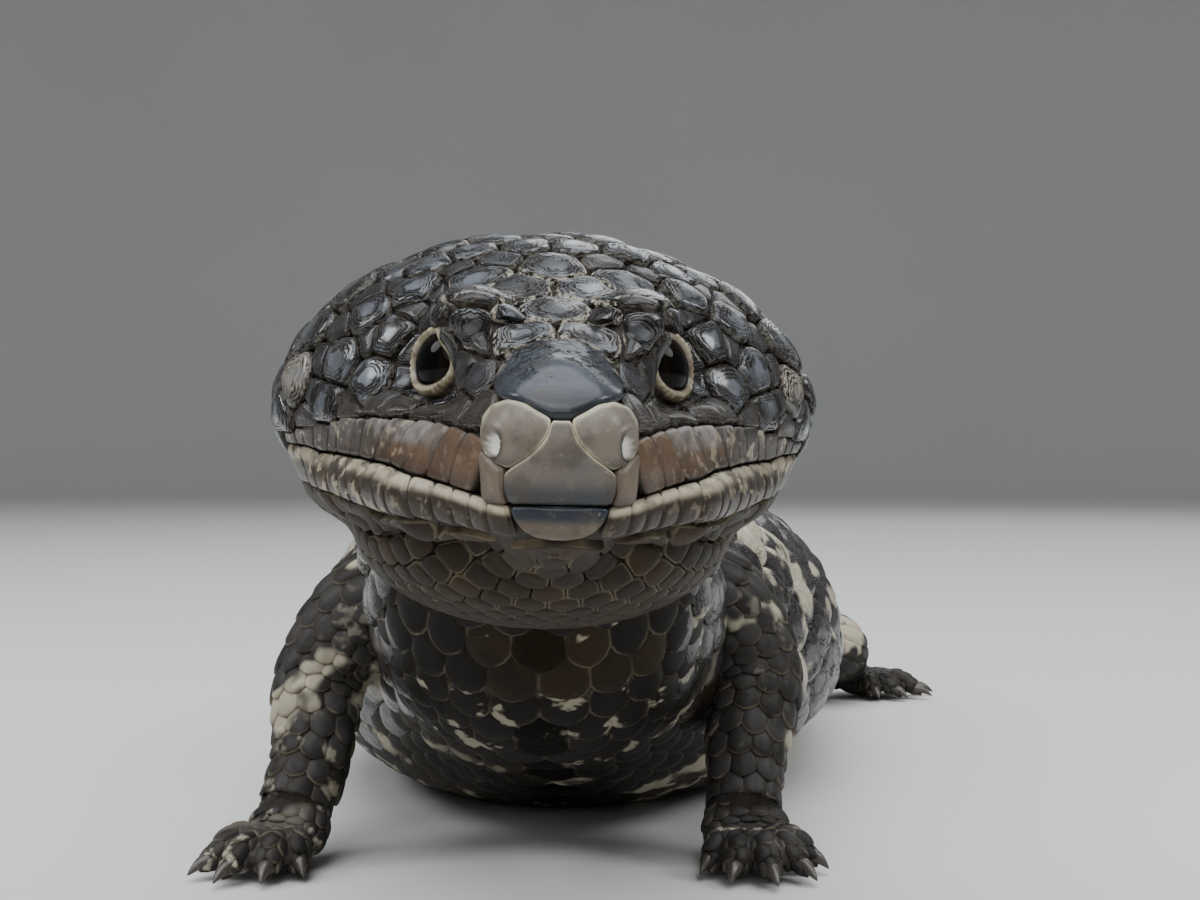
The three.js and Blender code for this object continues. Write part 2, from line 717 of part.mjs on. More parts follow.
const { head, jaw } = headSolids();
add("head", head, SKIN, 0.45, headGroup);
add("lower_jaw", jaw, 0x8b7d6b, 0.5, headGroup);
for (const [name, side] of [["left", 1], ["right", -1]]) {
  add(`eye_${name}`, eyeball(side), 0x0b0a0a, 0.1, headGroup);
  add(`ear_${name}`, eardrum(side), 0x3a332e, 0.6, headGroup);
}

// The trunk in its lengths, with flat parting faces.
const trunk = trunkSolid();
const slab = (from, to) =>
  boxSolid([-100, from + SNOUT_Y, -10], [100, to + SNOUT_Y, 120]);
const behindHead = boxSolid([-90, HEAD_BACK + GAP, -120], [90, 200, 90], headGroup.matrix);
add("neck", trunk.intersect(behindHead).intersect(slab(0, NECK_END)));
add("torso_front", trunk.intersect(slab(NECK_END + GAP, WAIST)));
add("torso_rear", trunk.intersect(slab(WAIST + GAP, VENT)));
add("tail", trunk.intersect(slab(VENT + GAP, TAIL_TIP + 10)));

// The legs start on the trunk's surface, and the feet on the legs' ends.
const trunkAndGap = trunkSolid(GAP);
for (const [name, { joints, radii, side, lean }] of Object.entries(LEGS)) {
  const path = legPath(joints, side, lean);
  const wrist = path.at(-1);
  const fore = name.startsWith("fore");
  const grown = radii.map((radius) => radius + GAP);
  const foot = fore
    ? footSolid(wrist, side, side > 0 ? 6 : 22, FORE_PALM, FORE_TOES)
    : footSolid(wrist, side, 62, HIND_PALM, HIND_TOES);
  const longer = [...path.slice(0, -1), wrist.clone().add(point(0, 0, -GAP))];
  add(name, limb(path, radii, 10, 6).subtract(trunkAndGap));
  add(name.replace("leg", "foot"), foot.subtract(limb(longer, grown, 10, 6)).subtract(trunkAndGap));
}

export default group;
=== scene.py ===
"""The looks of a shingleback skink: skin, head shields, scutes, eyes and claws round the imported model."""

import math

import bmesh
import bpy
import numpy as np
from mathutils import Euler, Matrix, Vector


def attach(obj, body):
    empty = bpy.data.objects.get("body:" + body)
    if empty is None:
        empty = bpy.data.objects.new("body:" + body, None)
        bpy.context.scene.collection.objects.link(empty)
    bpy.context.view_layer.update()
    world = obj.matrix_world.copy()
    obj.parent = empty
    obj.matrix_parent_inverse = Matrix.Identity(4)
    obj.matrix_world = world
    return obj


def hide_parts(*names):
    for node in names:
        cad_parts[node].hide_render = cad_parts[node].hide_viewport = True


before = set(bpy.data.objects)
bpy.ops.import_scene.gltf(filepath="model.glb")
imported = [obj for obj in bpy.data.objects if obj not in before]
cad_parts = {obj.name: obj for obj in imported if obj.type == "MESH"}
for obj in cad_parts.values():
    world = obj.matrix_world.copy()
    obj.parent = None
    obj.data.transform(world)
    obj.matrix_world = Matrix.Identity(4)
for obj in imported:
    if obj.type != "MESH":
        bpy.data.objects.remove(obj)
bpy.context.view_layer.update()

# Driving sizes, in millimetres
MM = 0.001
SNOUT_Y = -200
MOUTH_HEIGHT = 51
HEAD_YAW = math.radians(3.6)
HEAD_ROLL = math.radians(1.2)
NECK_START = 57
NECK_LENGTH = 22
COAT_START = 60
TAIL_TIP = 364
TAIL_CAP = 7  # the rounded end of the tail
COAT_END = TAIL_TIP - 3
MOUTH_CORNER = 43
LIP_RISE = 4.3
LIP_BEND = 16
EYE_RADIUS = 4.1
EYE = np.array([7.9, 21, 11.2])
EYE_FACING = np.array([0.87, -0.5, 0.05]) / np.linalg.norm([0.87, -0.5, 0.05])
LOOK = np.array([0.80, -0.60, 0.03]) / np.linalg.norm([0.80, -0.60, 0.03])  # middle of the lids' opening
EYE_OPENING = (2.55, 1.85)
EAR = np.array([23, 52.5, 6])
NOSTRIL = np.array([4.8, 4.5])  # sideways and up, seen from in front
COAT_DEPTH = 0.4  # how far the skin lies under the plates' feet
FLOOR_GAP = 0.02  # nothing lies lower than this over the floor
SEED = np.random.default_rng(7)

# The trunk: distance behind the snout, sideways bend, half width, then the
# heights of its underside, of its widest line and of its back
TRUNK = [
    [44, -2.7, 18, 44, 56, 70],
    [58, -3.6, 19, 40, 54.5, 70],
    [72, -4.2, 19.8, 31.5, 47, 64.5],
    [88, -4.2, 21, 19, 39, 58],
    [108, -3.6, 23.5, 11, 32, 54],
    [135, -3, 34, 2, 25, 53],
    [165, -1, 42, -3, 21, 52],
    [200, 2, 44, -3, 20, 51],
    [235, 6, 39, -3, 19, 48],
    [262, 8, 31, -2.5, 17, 42],
    [288, 7, 22.5, -2, 14.5, 33],
    [312, 3, 21.5, -1.5, 13, 29],
    [336, -3, 19, -1.5, 11.5, 25],
    [354, -9, 13, 0.5, 10.5, 19.5],
    [364, -12, 5, 4, 9.5, 14],
]

# The head's forms in its own frame, mirrored in x: centre and radii
HEAD_BALLS = [
    [(0, 42, 8.5), (24.5, 22, 16.8)],
    [(13, 43, 8.6), (13.8, 15, 12.6)],
    [(7.0, 20.5, 14.9), (4.0, 8, 2.9)],
    [(0, 62, 5.5), (21, 24, 17)],
    [(0, 43, -3), (19, 26, 10.5)],
    [(2.6, 4, 5.2), (3.1, 4.4, 3.4)],
]
# Tapered round bars: one end and its radius, the other end and its radius
HEAD_BARS = [
    [(0, 7.5, 5), 6, (0, 32, 8), 14],
    [(2.6, 2.6, 1.8), 2.9, (4.5, 10, 3), 4.6],
    [(0, 3.4, -0.6), 2.6, (0, 30, -0.5), 9.2],
    [(3.2, 2.4, -1.2), 2.1, (10, 11.6, 0.1), 2.7],
    [(10, 11.6, 0.1), 2.7, (18.2, 32, 1.2), 3.4],
    [(18.2, 32, 1.2), 3.4, (20, 43, 1), 4.2],
    [(5.6, 6, 3.4), 2.2, (12, 20, 5.2), 3],
    [(12, 20, 5.2), 3, (21.6, 41, 8), 5],
    [(4.6, 8.5, 6.8), 1.9, (6.1, 15.6, 12.8), 2.2],
]
HEAD_BLEND = 2.2

# Colours
SOOT = (0.012, 0.010, 0.008)
UMBER = (0.050, 0.034, 0.023)
UMBER_DARK = (0.014, 0.010, 0.008)
CREAM = (0.50, 0.45, 0.34)
OLIVE = (0.026, 0.018, 0.009)


def smoothstep(value, low, high):
    share = np.clip((value - low) / (high - low), 0, 1)
    return share * share * (3 - 2 * share)


def unit(vectors):
    return vectors / np.maximum(np.linalg.norm(vectors, axis=-1, keepdims=True), 1e-9)


def profile(table, column):
    """A smooth curve through a table's rows: the value in a column at each station."""
    rows = np.array(table, float)
    stations, values = rows[:, 0], rows[:, column]
    spans = np.diff(stations)
    slopes = np.empty(len(rows))
    slopes[1:-1] = (values[2:] - values[:-2]) / (stations[2:] - stations[:-2])
    slopes[0] = (values[1] - values[0]) / spans[0]
    slopes[-1] = (values[-1] - values[-2]) / spans[-1]

    def at(station):
        i = np.clip(np.searchsorted(stations, station) - 1, 0, len(spans) - 1)
        t = np.clip((station - stations[i]) / spans[i], 0, 1)
        rise = values[i + 1] - values[i]
        bend = slopes[i] * (1 - t) - slopes[i + 1] * t
        return values[i] + rise * t * t * (3 - 2 * t) + spans[i] * t * (1 - t) * bend

    return at


bend_at, width_at, low_at, wide_at, high_at = (profile(TRUNK, column) for column in range(1, 6))


def lengths_along(line):
    """How far each point of a line lies from its first one, along the line."""
    return np.r_[0, np.cumsum(np.linalg.norm(np.diff(line, axis=0), axis=1))]


def between(s, stations, places):
    """Places between those that are given at stations."""
    return np.stack([np.interp(s, stations, places[:, k]) for k in range(3)], -1)


def wrapped(angle):
    return np.arctan2(np.sin(angle), np.cos(angle))


def grain(points, size, seed=0):
    """Smooth noise from -1 to 1, with bumps about that size across."""
    cell = np.floor(points / size).astype(np.int64)
    share = points / size - cell
    share = share * share * (3 - 2 * share)
    total = 0
    for corner in np.ndindex(2, 2, 2):
        k = cell + np.array(corner)
        key = (k[..., 0] * 73856093) ^ (k[..., 1] * 19349663) ^ (k[..., 2] * 83492791) ^ (seed * 7919)
        key = (key ^ (key >> 13)) * 1274126177
        value = ((key >> 8) & 0xFFFF) / 32767.5 - 1
        total = total + value * np.prod(np.where(corner, share, 1 - share), axis=-1)
    return total


# Trunk surface


def trunk_point(s, angle):
    """A point s behind the snout, at an angle from the back's middle line towards the left side."""
    c, d = np.cos(angle), np.sin(angle)
    power = np.where(c > 0, 0.95, 0.9)
    wide = wide_at(s)
    closing = np.sqrt(1 - np.clip((s - TAIL_TIP + TAIL_CAP) / (TAIL_CAP + 0.2), 0, 0.98) ** 2)
    reach = closing * np.where(c > 0, high_at(s) - wide, wide - low_at(s))
    x = bend_at(s) + closing * width_at(s) * np.sign(d) * np.abs(d) ** power
    return np.stack([x, s + SNOUT_Y, wide + reach * np.sign(c) * np.abs(c) ** power], -1)


def surface_normal(surface, u, v, step_u=0.5, step_v=0.03):
    along = surface(u + step_u, v) - surface(u - step_u, v)
    around = surface(u, v + step_v) - surface(u, v - step_v)
    return unit(np.cross(around, along))


def neck_table():
    """The outline of the head's rear end, by angle, from which the neck narrows to the trunk."""
    angles = np.linspace(-math.pi, math.pi, 241)
    direction = np.stack([np.sin(angles), 0 * angles, np.cos(angles)], -1)
    return angles, to_body(march(np.array([0, NECK_START, 5.0]), direction))


def body_point(s, angle):
    """The trunk's surface, run into the rear end of the head."""
    s, angle = np.broadcast_arrays(s, angle)
    trunk = trunk_point(s, angle)
    head = between(wrapped(angle), *NECK_RING)
    head[..., 1] += s - NECK_START
    share = smoothstep(s, NECK_START, NECK_START + NECK_LENGTH)[..., None]
    return head + (trunk - head) * share


# Where the legs leave the trunk: distance behind the snout and radius
LEG_ROOTS = [(112, 9), (260, 10)]


def scute_share(s, angle):
    """How far a scute stands up: full over the back, none under the belly or round the legs."""
    turn = np.abs(wrapped(angle))
    share = 1 - smoothstep(turn, 1.6, 2.1)
    for root, radius in LEG_ROOTS:
        far = np.hypot(s - root, (turn - math.pi / 2) * width_at(s))
        share = share * (0.25 + 0.75 * smoothstep(far, radius, 1.5 * radius))
    return share * np.minimum(1, width_at(s) / 26)


# Head surface


def head_field(points):
    """Distance to the head's surface, negative inside."""
    p = np.stack([np.abs(points[..., 0]), points[..., 1], points[..., 2]], -1)
    field = np.full(p.shape[:-1], 1e6)

    def join(field, distance):
        near = np.maximum(HEAD_BLEND - np.abs(field - distance), 0) / HEAD_BLEND
        return np.minimum(field, distance) - near * near * HEAD_BLEND / 4

    for centre, radii in HEAD_BALLS:
        offset = (p - centre) / radii
        far = np.linalg.norm(offset, axis=-1)
        steep = np.maximum(np.linalg.norm(offset / radii, axis=-1), 1e-9)
        field = join(field, far * (far - 1) / steep)
    for start, first, end, second in HEAD_BARS:
        start = np.array(start, float)
        span = np.array(end, float) - start
        t = np.clip((p - start) @ span / (span @ span), 0, 1)
        far = np.linalg.norm(p - start - t[..., None] * span, axis=-1)
        field = join(field, far - first - t * (second - first))
    return field


def snout_field(points):
    """The head's field with the furrow down the middle of the snout filled."""
    filled = points.copy()
    filled[..., 0] = (np.abs(points[..., 0]) ** 4 + 2.2**4) ** 0.25
    return np.minimum(head_field(points), head_field(filled))


def field_normal(field, points):
    step = 0.12
    parts = []
    for axis in range(3):
        shift = np.zeros(3)
        shift[axis] = step
        parts.append(field(points + shift) - field(points - shift))
    return unit(np.stack(parts, -1))


def march(inner, direction, field=head_field, level=0.0, far=60.0):
    """The outermost point at a level of the field on rays from inner points."""
    inner, direction = np.broadcast_arrays(np.asarray(inner, float), np.asarray(direction, float))
    reach = np.full(inner.shape[:-1], far)
    for _ in range(70):
        reach = reach - 0.7 * np.maximum(field(inner + reach[..., None] * direction) - level, 0)
    return inner + reach[..., None] * direction


def onto_head(points, steps=12):
    for _ in range(steps):
        points = points - 0.8 * head_field(points)[..., None] * field_normal(head_field, points)
    return points


HEAD = np.array(
    Matrix.Translation((0, SNOUT_Y, MOUTH_HEIGHT))
    @ Matrix.Rotation(HEAD_ROLL, 4, "Y")
    @ Matrix.Rotation(HEAD_YAW, 4, "Z")
)


def sunk(points):
    """How far the plates' feet lie under the head's form behind the eyes."""
    x, y = np.abs(points[..., 0]), points[..., 1]
    return 0.5 * smoothstep(y, 18, 30) + 0.6 * smoothstep(x, 16, 23) * smoothstep(y, 20, 32)


def to_body(points):
    """From the head's frame to the animal's."""
    return points @ HEAD[:3, :3].T + HEAD[:3, 3]


def lip_height(y):
    return LIP_RISE * (1 - np.exp(-np.maximum(y, 0) / LIP_BEND))


def mirrored(point, side):
    return np.array([point[0] * side, point[1], point[2]])


def facing_frame(facing, side):
    """A direction and two more across it, mirrored for the right side."""
    facing = mirrored(facing, side)
    across = unit(np.cross(facing, (0, 0, 1.0)))
    return facing, across, np.cross(across, facing)


NECK_RING = neck_table()
EYE_SPOT = onto_head(EYE + EYE_FACING * 3)
EAR_SPOT = onto_head(EAR)


# Pieces, and arrays of one small form


def added(name, data):
    """An object of a mesh, a light or a camera, put in the scene."""
    piece = bpy.data.objects.new(name, data)
    bpy.context.scene.collection.objects.link(piece)
    return piece


def mesh_of(form, name):
    mesh = bpy.data.meshes.new(name)
    form.to_mesh(mesh)
    form.free()
    return mesh


def piece_of(form, name):
    """A smooth object from a mesh form in millimetres, kept above the floor."""
    for vert in form.verts:
        vert.co.z = max(vert.co.z, FLOOR_GAP)
    bmesh.ops.scale(form, vec=(MM, MM, MM), verts=form.verts)
    mesh = mesh_of(form, name)
    mesh.shade_smooth()
    return added(name, mesh)


def patch_place(x, y, level, under):
    """Where a corner lies on its scale's own patch: a disc, the walls round it, the underside beside it."""
    if under:
        return -0.88 + 0.06 * x, 0.06 * y
    reach = 0.64 * math.hypot(x, y) if level > -0.5 else 0.64 - 0.08 * level
    heading = math.atan2(y, x)
    return 0.12 + reach * math.cos(heading), reach * math.sin(heading)


class Form:
    """A closed disc of rings, to be shaped into a scale: its corners, faces and own flat patch."""

    def __init__(self, segments, rings):
        form = bmesh.new()
        bmesh.ops.create_circle(form, cap_ends=True, segments=segments, radius=1)
        middle = form.faces[:]
        outer = 1.0
        for radius in rings:
            thickness = (outer - radius) * math.cos(math.pi / segments)
            bmesh.ops.inset_region(
                form, faces=middle, thickness=thickness, use_boundary=True, use_even_offset=True
            )
            outer = radius
        bmesh.ops.poke(form, faces=middle)
        for depth, radius in ((-1, 1.0), (-2, 0.85)):
            rim = [edge for edge in form.edges if edge.is_boundary]
            made = bmesh.ops.extrude_edge_only(form, edges=rim)["geom"]
            for vert in made:
                if isinstance(vert, bmesh.types.BMVert):
                    vert.co = (vert.co.x * radius, vert.co.y * radius, depth)
        bmesh.ops.holes_fill(form, edges=[edge for edge in form.edges if edge.is_boundary], sides=0)
        bmesh.ops.recalc_face_normals(form, faces=form.faces)
        form.verts.index_update()
        x, y, level = np.array([vert.co for vert in form.verts]).T
        self.top = level > -0.5
        self.foot = level < -1.5
        self.rho = np.where(self.top, np.hypot(x, y), 1.0)
        self.turn = np.arctan2(y, x)
        self.starts, self.loops, flat = [], [], []
        for face in form.faces:
            self.starts.append(len(self.loops))
            under = all(vert.co.z < -1.5 for vert in face.verts)
            for vert in face.verts:
                self.loops.append(vert.index)
                flat.append(patch_place(*vert.co, under))
        self.flat = np.array(flat)
        self.loops = np.array(self.loops)
        self.starts = np.array(self.starts)
        form.free()

    def inset(self, share):
        return np.where(self.foot, share, 1.0)

    def spread(self, reach, share):
        """Places of the corners inside an outline: its reach at each bearing, and less for the foot."""
        far = self.rho * self.inset(share) * reach
        return far * np.cos(self.turn), far * np.sin(self.turn)

    def closed(self, height, belt, foot):
        """Heights of all the corners: the top's as they are, then the belt's and the foot's."""
        return np.where(self.top, height, np.where(self.foot, foot, belt))


def joined(name, form, places, roots, **attributes):
    """One mesh of many copies of a form: the places of each copy's corners, and its root on the flat map."""
    copies, corners = places.shape[:2]
    mesh = bpy.data.meshes.new(name)
    mesh.vertices.add(copies * corners)
    mesh.vertices.foreach_set("co", (places * MM).astype(np.float32).ravel())
    loops = (np.arange(copies)[:, None] * corners + form.loops).ravel()
    mesh.loops.add(len(loops))
    mesh.loops.foreach_set("vertex_index", loops.astype(np.int32))
    starts = (np.arange(copies)[:, None] * len(form.loops) + form.starts).ravel()
    mesh.polygons.add(len(starts))
    mesh.polygons.foreach_set("loop_start", starts.astype(np.int32))
    mesh.update(calc_edges=True)
    mesh.shade_smooth()
    for key, values in attributes.items():
        values = np.asarray(values, float)
        if values.ndim == 3:
            layer = mesh.attributes.new(key, "FLOAT_COLOR", "POINT")
            colours = np.concatenate([values, np.ones(values.shape[:2] + (1,))], -1)
            layer.data.foreach_set("color", colours.astype(np.float32).ravel())
        else:
            layer = mesh.attributes.new(key, "FLOAT", "POINT")
            full = np.broadcast_to(values, (copies, corners))
            layer.data.foreach_set("value", full.astype(np.float32).ravel())
    apart = np.linalg.norm(roots[:, None] - roots[None], axis=-1) + 9 * np.eye(copies)
    radius = 0.48 * apart.min(1)
    patches = roots[:, None] + radius[:, None, None] * form.flat
    layer = mesh.uv_layers.new(name="OFBake")
    layer.data.foreach_set("uv", patches.astype(np.float32).ravel())
    return added(name, mesh)


def finish_piece(piece, material, slot, *nodes):
    piece.data.materials.clear()
    piece.data.materials.append(material)
    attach(piece, "root")
    if nodes:
        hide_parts(*nodes)


def grid_roots(count):
    """Roots on the flat map for a number of copies, in a square grid."""
    wide = math.ceil(math.sqrt(count))
    return np.stack([np.arange(count) % wide + 0.5, np.arange(count) // wide + 0.5], -1) / wide


# Materials


class Signal:
    """A socket of a material's nodes, for arithmetic."""

    def __init__(self, finish, socket):
        self.finish = finish
        self.socket = socket

    def math(self, operation, first, second):
        return self.finish.node("ShaderNodeMath", {"operation": operation}, {0: first, 1: second})

    def __add__(self, other):
        return self.math("ADD", self, other)

    def __sub__(self, other):
        return self.math("SUBTRACT", self, other)

    def __rsub__(self, other):
        return self.math("SUBTRACT", other, self)

    def __mul__(self, other):
        return self.math("MULTIPLY", self, other)

    __radd__ = __add__
    __rmul__ = __mul__

    def sine(self):
        return self.math("SINE", self, 0.0)

    def step(self, low, high):
        """0 under low and 1 over high, with a smooth change between."""
        settings = {"interpolation_type": "SMOOTHSTEP"}
        return self.finish.node("ShaderNodeMapRange", settings, {0: self, 1: low, 2: high})


class Finish:
    """One material and its nodes."""

    def __init__(self, name, **sockets):
        self.material = bpy.data.materials.new(name)
        self.material.use_nodes = True
        self.tree = self.material.node_tree
        self.shader = self.tree.nodes["Principled BSDF"]
        for key, value in sockets.items():
            self.feed(self.shader.inputs[key.replace("_", " ")], value)
        self.place = self.node("ShaderNodeTexCoord", {}, {}, "Object")

    def feed(self, socket, value):
        if isinstance(value, Signal):
            self.tree.links.new(value.socket, socket)
        elif socket.type == "RGBA" and len(value) == 3:
            socket.default_value = (*value, 1)
        else:
            socket.default_value = value

    def node(self, kind, settings, sockets, output=0):
        made = self.tree.nodes.new(kind)
        for key, value in settings.items():
            setattr(made, key, value)
        for key, value in sockets.items():
            self.feed(made.inputs[key], value)
        return Signal(self, made.outputs[output])

    def attribute(self, name, output="Fac"):
        return self.node("ShaderNodeAttribute", {"attribute_name": name}, {}, output)

    def noise(self, millimetres, detail=2.0, rough=0.5):
        """Noise from 0 to 1 with features of that size."""
        sockets = {"Vector": self.place, "Scale": 1 / (millimetres * MM)}
        return self.node("ShaderNodeTexNoise", {}, {**sockets, "Detail": detail, "Roughness": rough})

    def cells(self, millimetres):
        sockets = {"Vector": self.place, "Scale": 1 / (millimetres * MM)}
        return self.node("ShaderNodeTexVoronoi", {}, sockets)

    def mix(self, first, second, share):
        return self.node("ShaderNodeMix", {"data_type": "RGBA"}, {0: share, 6: first, 7: second}, 2)

    def show(self, colour, roughness):
        self.feed(self.shader.inputs["Base Color"], colour)
        self.feed(self.shader.inputs["Roughness"], roughness)

    def relief(self, *layers):
        """Bumps from pairs of a height and its depth in millimetres, which finish the material."""
        normal = None
        for height, depth in layers:
            sockets = {"Height": height, "Distance": depth * MM, "Strength": 1.0}
            if normal:
                sockets["Normal"] = normal
            normal = self.node("ShaderNodeBump", {}, sockets)
        self.feed(self.shader.inputs["Normal"], normal)
        return self.material


def markings(finish):
    """Pale blotches over the body, in weak bands across it, the same in the skin and the scutes."""
    along = finish.node("ShaderNodeSeparateXYZ", {}, {0: finish.place}, "Y")
    bands = (along * (2 * math.pi / 0.052) + finish.noise(40) * 5).sine()
    blotches = finish.noise(13, 3.0, 0.55) + bands * 0.05
    body, neck = along.step(-0.105, -0.085), along.step(-0.150, -0.128)
    spots = finish.noise(5.5, 3.0, 0.6).step(0.60, 0.66) * (1.0 - body)
    return (blotches.step(0.56, 0.62) * body + spots * 0.7) * neck


def scute_finish():
    """Glossy dark horn: a pale blue-grey painted sky reflection on the smooth facet in each plate's middle,
    dark wrinkles round it with painted shade in their furrows.
    """
    finish = Finish("scute_horn", Coat_Roughness=0.19, IOR=1.22)
    rim, tone, rugose = (finish.attribute(name) for name in ("rim", "tone", "rugose"))
    ground = finish.attribute("ground", "Color")
    wander = finish.noise(2.4, 3.0, 0.6)
    twist = finish.noise(0.8, 2.0)
    patchy = finish.noise(1.7, 2.0).step(0.38, 0.52)
    ridges = ((rim * 6.0 + wander * 5.0 + twist * 1.6 + tone * 7.0) * (2 * math.pi)).sine()
    outer = (rim + (wander - 0.5) * 1.3).step(0.24, 0.42) * rugose * (0.35 + patchy * 0.65)
    folds = finish.noise(0.9, 3.0, 0.6)
    pits = finish.noise(0.35, 2.0)
    facet = finish.attribute("facet")
    # painted sky reflection: the smooth facets are coloured a pale blue-grey, less where the wrinkles are
    painted_sheen = facet * (0.25 + finish.noise(6, 2.0).step(0.38, 0.60) * 0.75)
    lit = finish.mix(ground, (0.105, 0.115, 0.132), painted_sheen * (1.0 - outer * 0.8))
    worn = finish.mix(lit, (0.050, 0.034, 0.022), finish.noise(3.2, 3.0, 0.6).step(0.54, 0.72) * 0.55)
    # painted shade: the furrows of the wrinkles are coloured near black, and below they lose their coat
    furrow = (0 - ridges).step(-0.1, 0.6) * outer
    furrow_shaded = finish.mix(worn, (0.006, 0.004, 0.003), furrow * 0.95)
    border = (rim + (wander - 0.5) * 0.30).step(0.86, 0.98)
    margin = finish.mix(furrow_shaded, (0.014, 0.009, 0.006), border * 0.9)
    pale = finish.mix(margin, CREAM, markings(finish) * 0.85)
    dust = rim.step(0.85, 0.97) * finish.noise(1.1, 3.0, 0.7).step(0.44, 0.56) * finish.attribute("dust")
    bare = (1.0 - furrow) * (1.0 - border * 0.75) * (1.0 - dust)
    finish.feed(finish.shader.inputs["Coat Weight"], bare * (0.45 + facet * 0.55))
    finish.show(finish.mix(pale, (0.42, 0.39, 0.32), dust), 0.24 + pits * 0.14 + outer * 0.10 + dust * 0.3)
    return finish.relief((ridges * outer, 0.10), (folds, 0.12), (pits, 0.05))


def lip_finish():
    """Smooth shields of the snout and the lips: tan and taupe, mottled darker towards the corner."""
    finish = Finish("lip_shield", Coat_Weight=0.1, Coat_Roughness=0.2, IOR=1.34)
    rim, mottle = finish.attribute("rim"), finish.attribute("mottle")
    ground = finish.attribute("ground", "Color")
    clouds = finish.noise(2.6, 3.0, 0.6)
    specks = finish.noise(0.8, 3.0, 0.65)
    deep = finish.mix(ground, (0.020, 0.016, 0.012), clouds.step(0.44, 0.62) * mottle * 0.9)
    pale = finish.mix(deep, (0.38, 0.32, 0.22), finish.noise(1.5, 3.0, 0.6).step(0.55, 0.64) * mottle * 0.7)
    flecked = finish.mix(pale, (0.36, 0.31, 0.24), specks.step(0.64, 0.76) * 0.35)
    stained = finish.mix(flecked, (0.055, 0.042, 0.032), clouds.step(0.50, 0.70) * 0.5)
    seam = finish.attribute("seam")
    colour = finish.mix(stained, (0.012, 0.009, 0.007), rim.step(0.95, 0.99) * seam)
    finish.show(colour, 0.32 + specks * 0.18)
    return finish.relief((clouds, 0.10), (specks, 0.05))


def throat_finish():
    """Smooth overlapping scales of the throat, belly and legs, with thin pale edges."""
    finish = Finish("smooth_scale", Coat_Weight=0.04, Coat_Roughness=0.3, IOR=1.16)
    rim, tone = finish.attribute("rim"), finish.attribute("tone")
    ground = finish.attribute("ground", "Color")
    clouds = finish.noise(4.5, 3.0, 0.6)
    specks = finish.noise(0.8, 3.0, 0.65)
    deep = finish.mix(ground, SOOT, (clouds + tone * 0.2).step(0.5, 0.75) * 0.6)
    pale = finish.mix(deep, CREAM, markings(finish) * 0.8)
    edge = rim.step(0.84, 0.95) * finish.noise(4, 2.0).step(0.40, 0.60)
    colour = finish.mix(pale, (0.24, 0.20, 0.13), edge * 0.36)
    finish.show(colour, 0.36 + specks * 0.2)
    return finish.relief((clouds, 0.2), (specks, 0.08))


def skin_finish():
    """The dark skin between the scales, pebbled, with the same blotches."""
    finish = Finish("skin_hide", IOR=1.4)
    folds = finish.cells(1.1)
    clouds = finish.noise(5, 3.0)
    deep = finish.mix(SOOT, (0.035, 0.027, 0.020), clouds)
    colour = finish.mix(deep, CREAM, markings(finish) * 0.5)
    finish.show(colour, 0.62 + clouds * 0.1)
    return finish.relief((folds, 0.25))


def lid_finish():
    """Pale beaded lids, darker away from the eye."""
    finish = Finish("eyelid", Coat_Weight=0.2, Coat_Roughness=0.25)
    rim = finish.attribute("rim")
    clouds = finish.noise(1.6, 3.0)
    outer = finish.mix(UMBER, SOOT, clouds)
    pale = finish.mix((0.34, 0.29, 0.19), (0.15, 0.11, 0.065), clouds.step(0.42, 0.66))
    finish.show(finish.mix(outer, pale, rim), 0.42)
    return finish.relief((finish.noise(0.6, 3.0), 0.12))


def eye_finish():
    """Near-black eye with a wet surface."""
    finish = Finish("eye_gloss", IOR=1.17)
    iris = finish.attribute("iris")
    streaks = finish.noise(0.5, 3.0)
    brown = finish.mix((0.004, 0.003, 0.002), (0.012, 0.007, 0.004), streaks)
    finish.show(finish.mix((0.002, 0.002, 0.002), brown, iris), 0.03)
    return finish.material


def claw_finish():
    finish = Finish("claw_horn", Coat_Weight=0.2)
    streaks = finish.noise(1.2, 3.0)
    finish.show(finish.mix((0.085, 0.068, 0.052), (0.025, 0.020, 0.017), streaks), 0.38)
    return finish.relief((streaks, 0.1))


def drum_finish():
    finish = Finish("eardrum_skin")
    finish.show(finish.mix((0.05, 0.035, 0.028), (0.02, 0.015, 0.012), finish.noise(1.5)), 0.45)
    return finish.relief((finish.noise(0.8), 0.1))


# Skin


def sleeve(form, surface, along, around, start, end):
    """A closed sleeve round a surface that is given by a station and an angle."""
    made = bmesh.ops.create_grid(form, x_segments=along, y_segments=around, size=0.5)
    verts = made["verts"]
    places = np.array([vert.co for vert in verts])
    stations = start + (places[:, 0] + 0.5) * (end - start)
    moved = surface(stations, places[:, 1] * 2 * math.pi)
    for vert, place in zip(verts, moved):
        vert.co = place
    bmesh.ops.remove_doubles(form, verts=verts, dist=1e-3)
    kept = [vert for vert in verts if vert.is_valid]
    rims = {edge for vert in kept for edge in vert.link_edges if edge.is_boundary}
    bmesh.ops.holes_fill(form, edges=list(rims), sides=0)


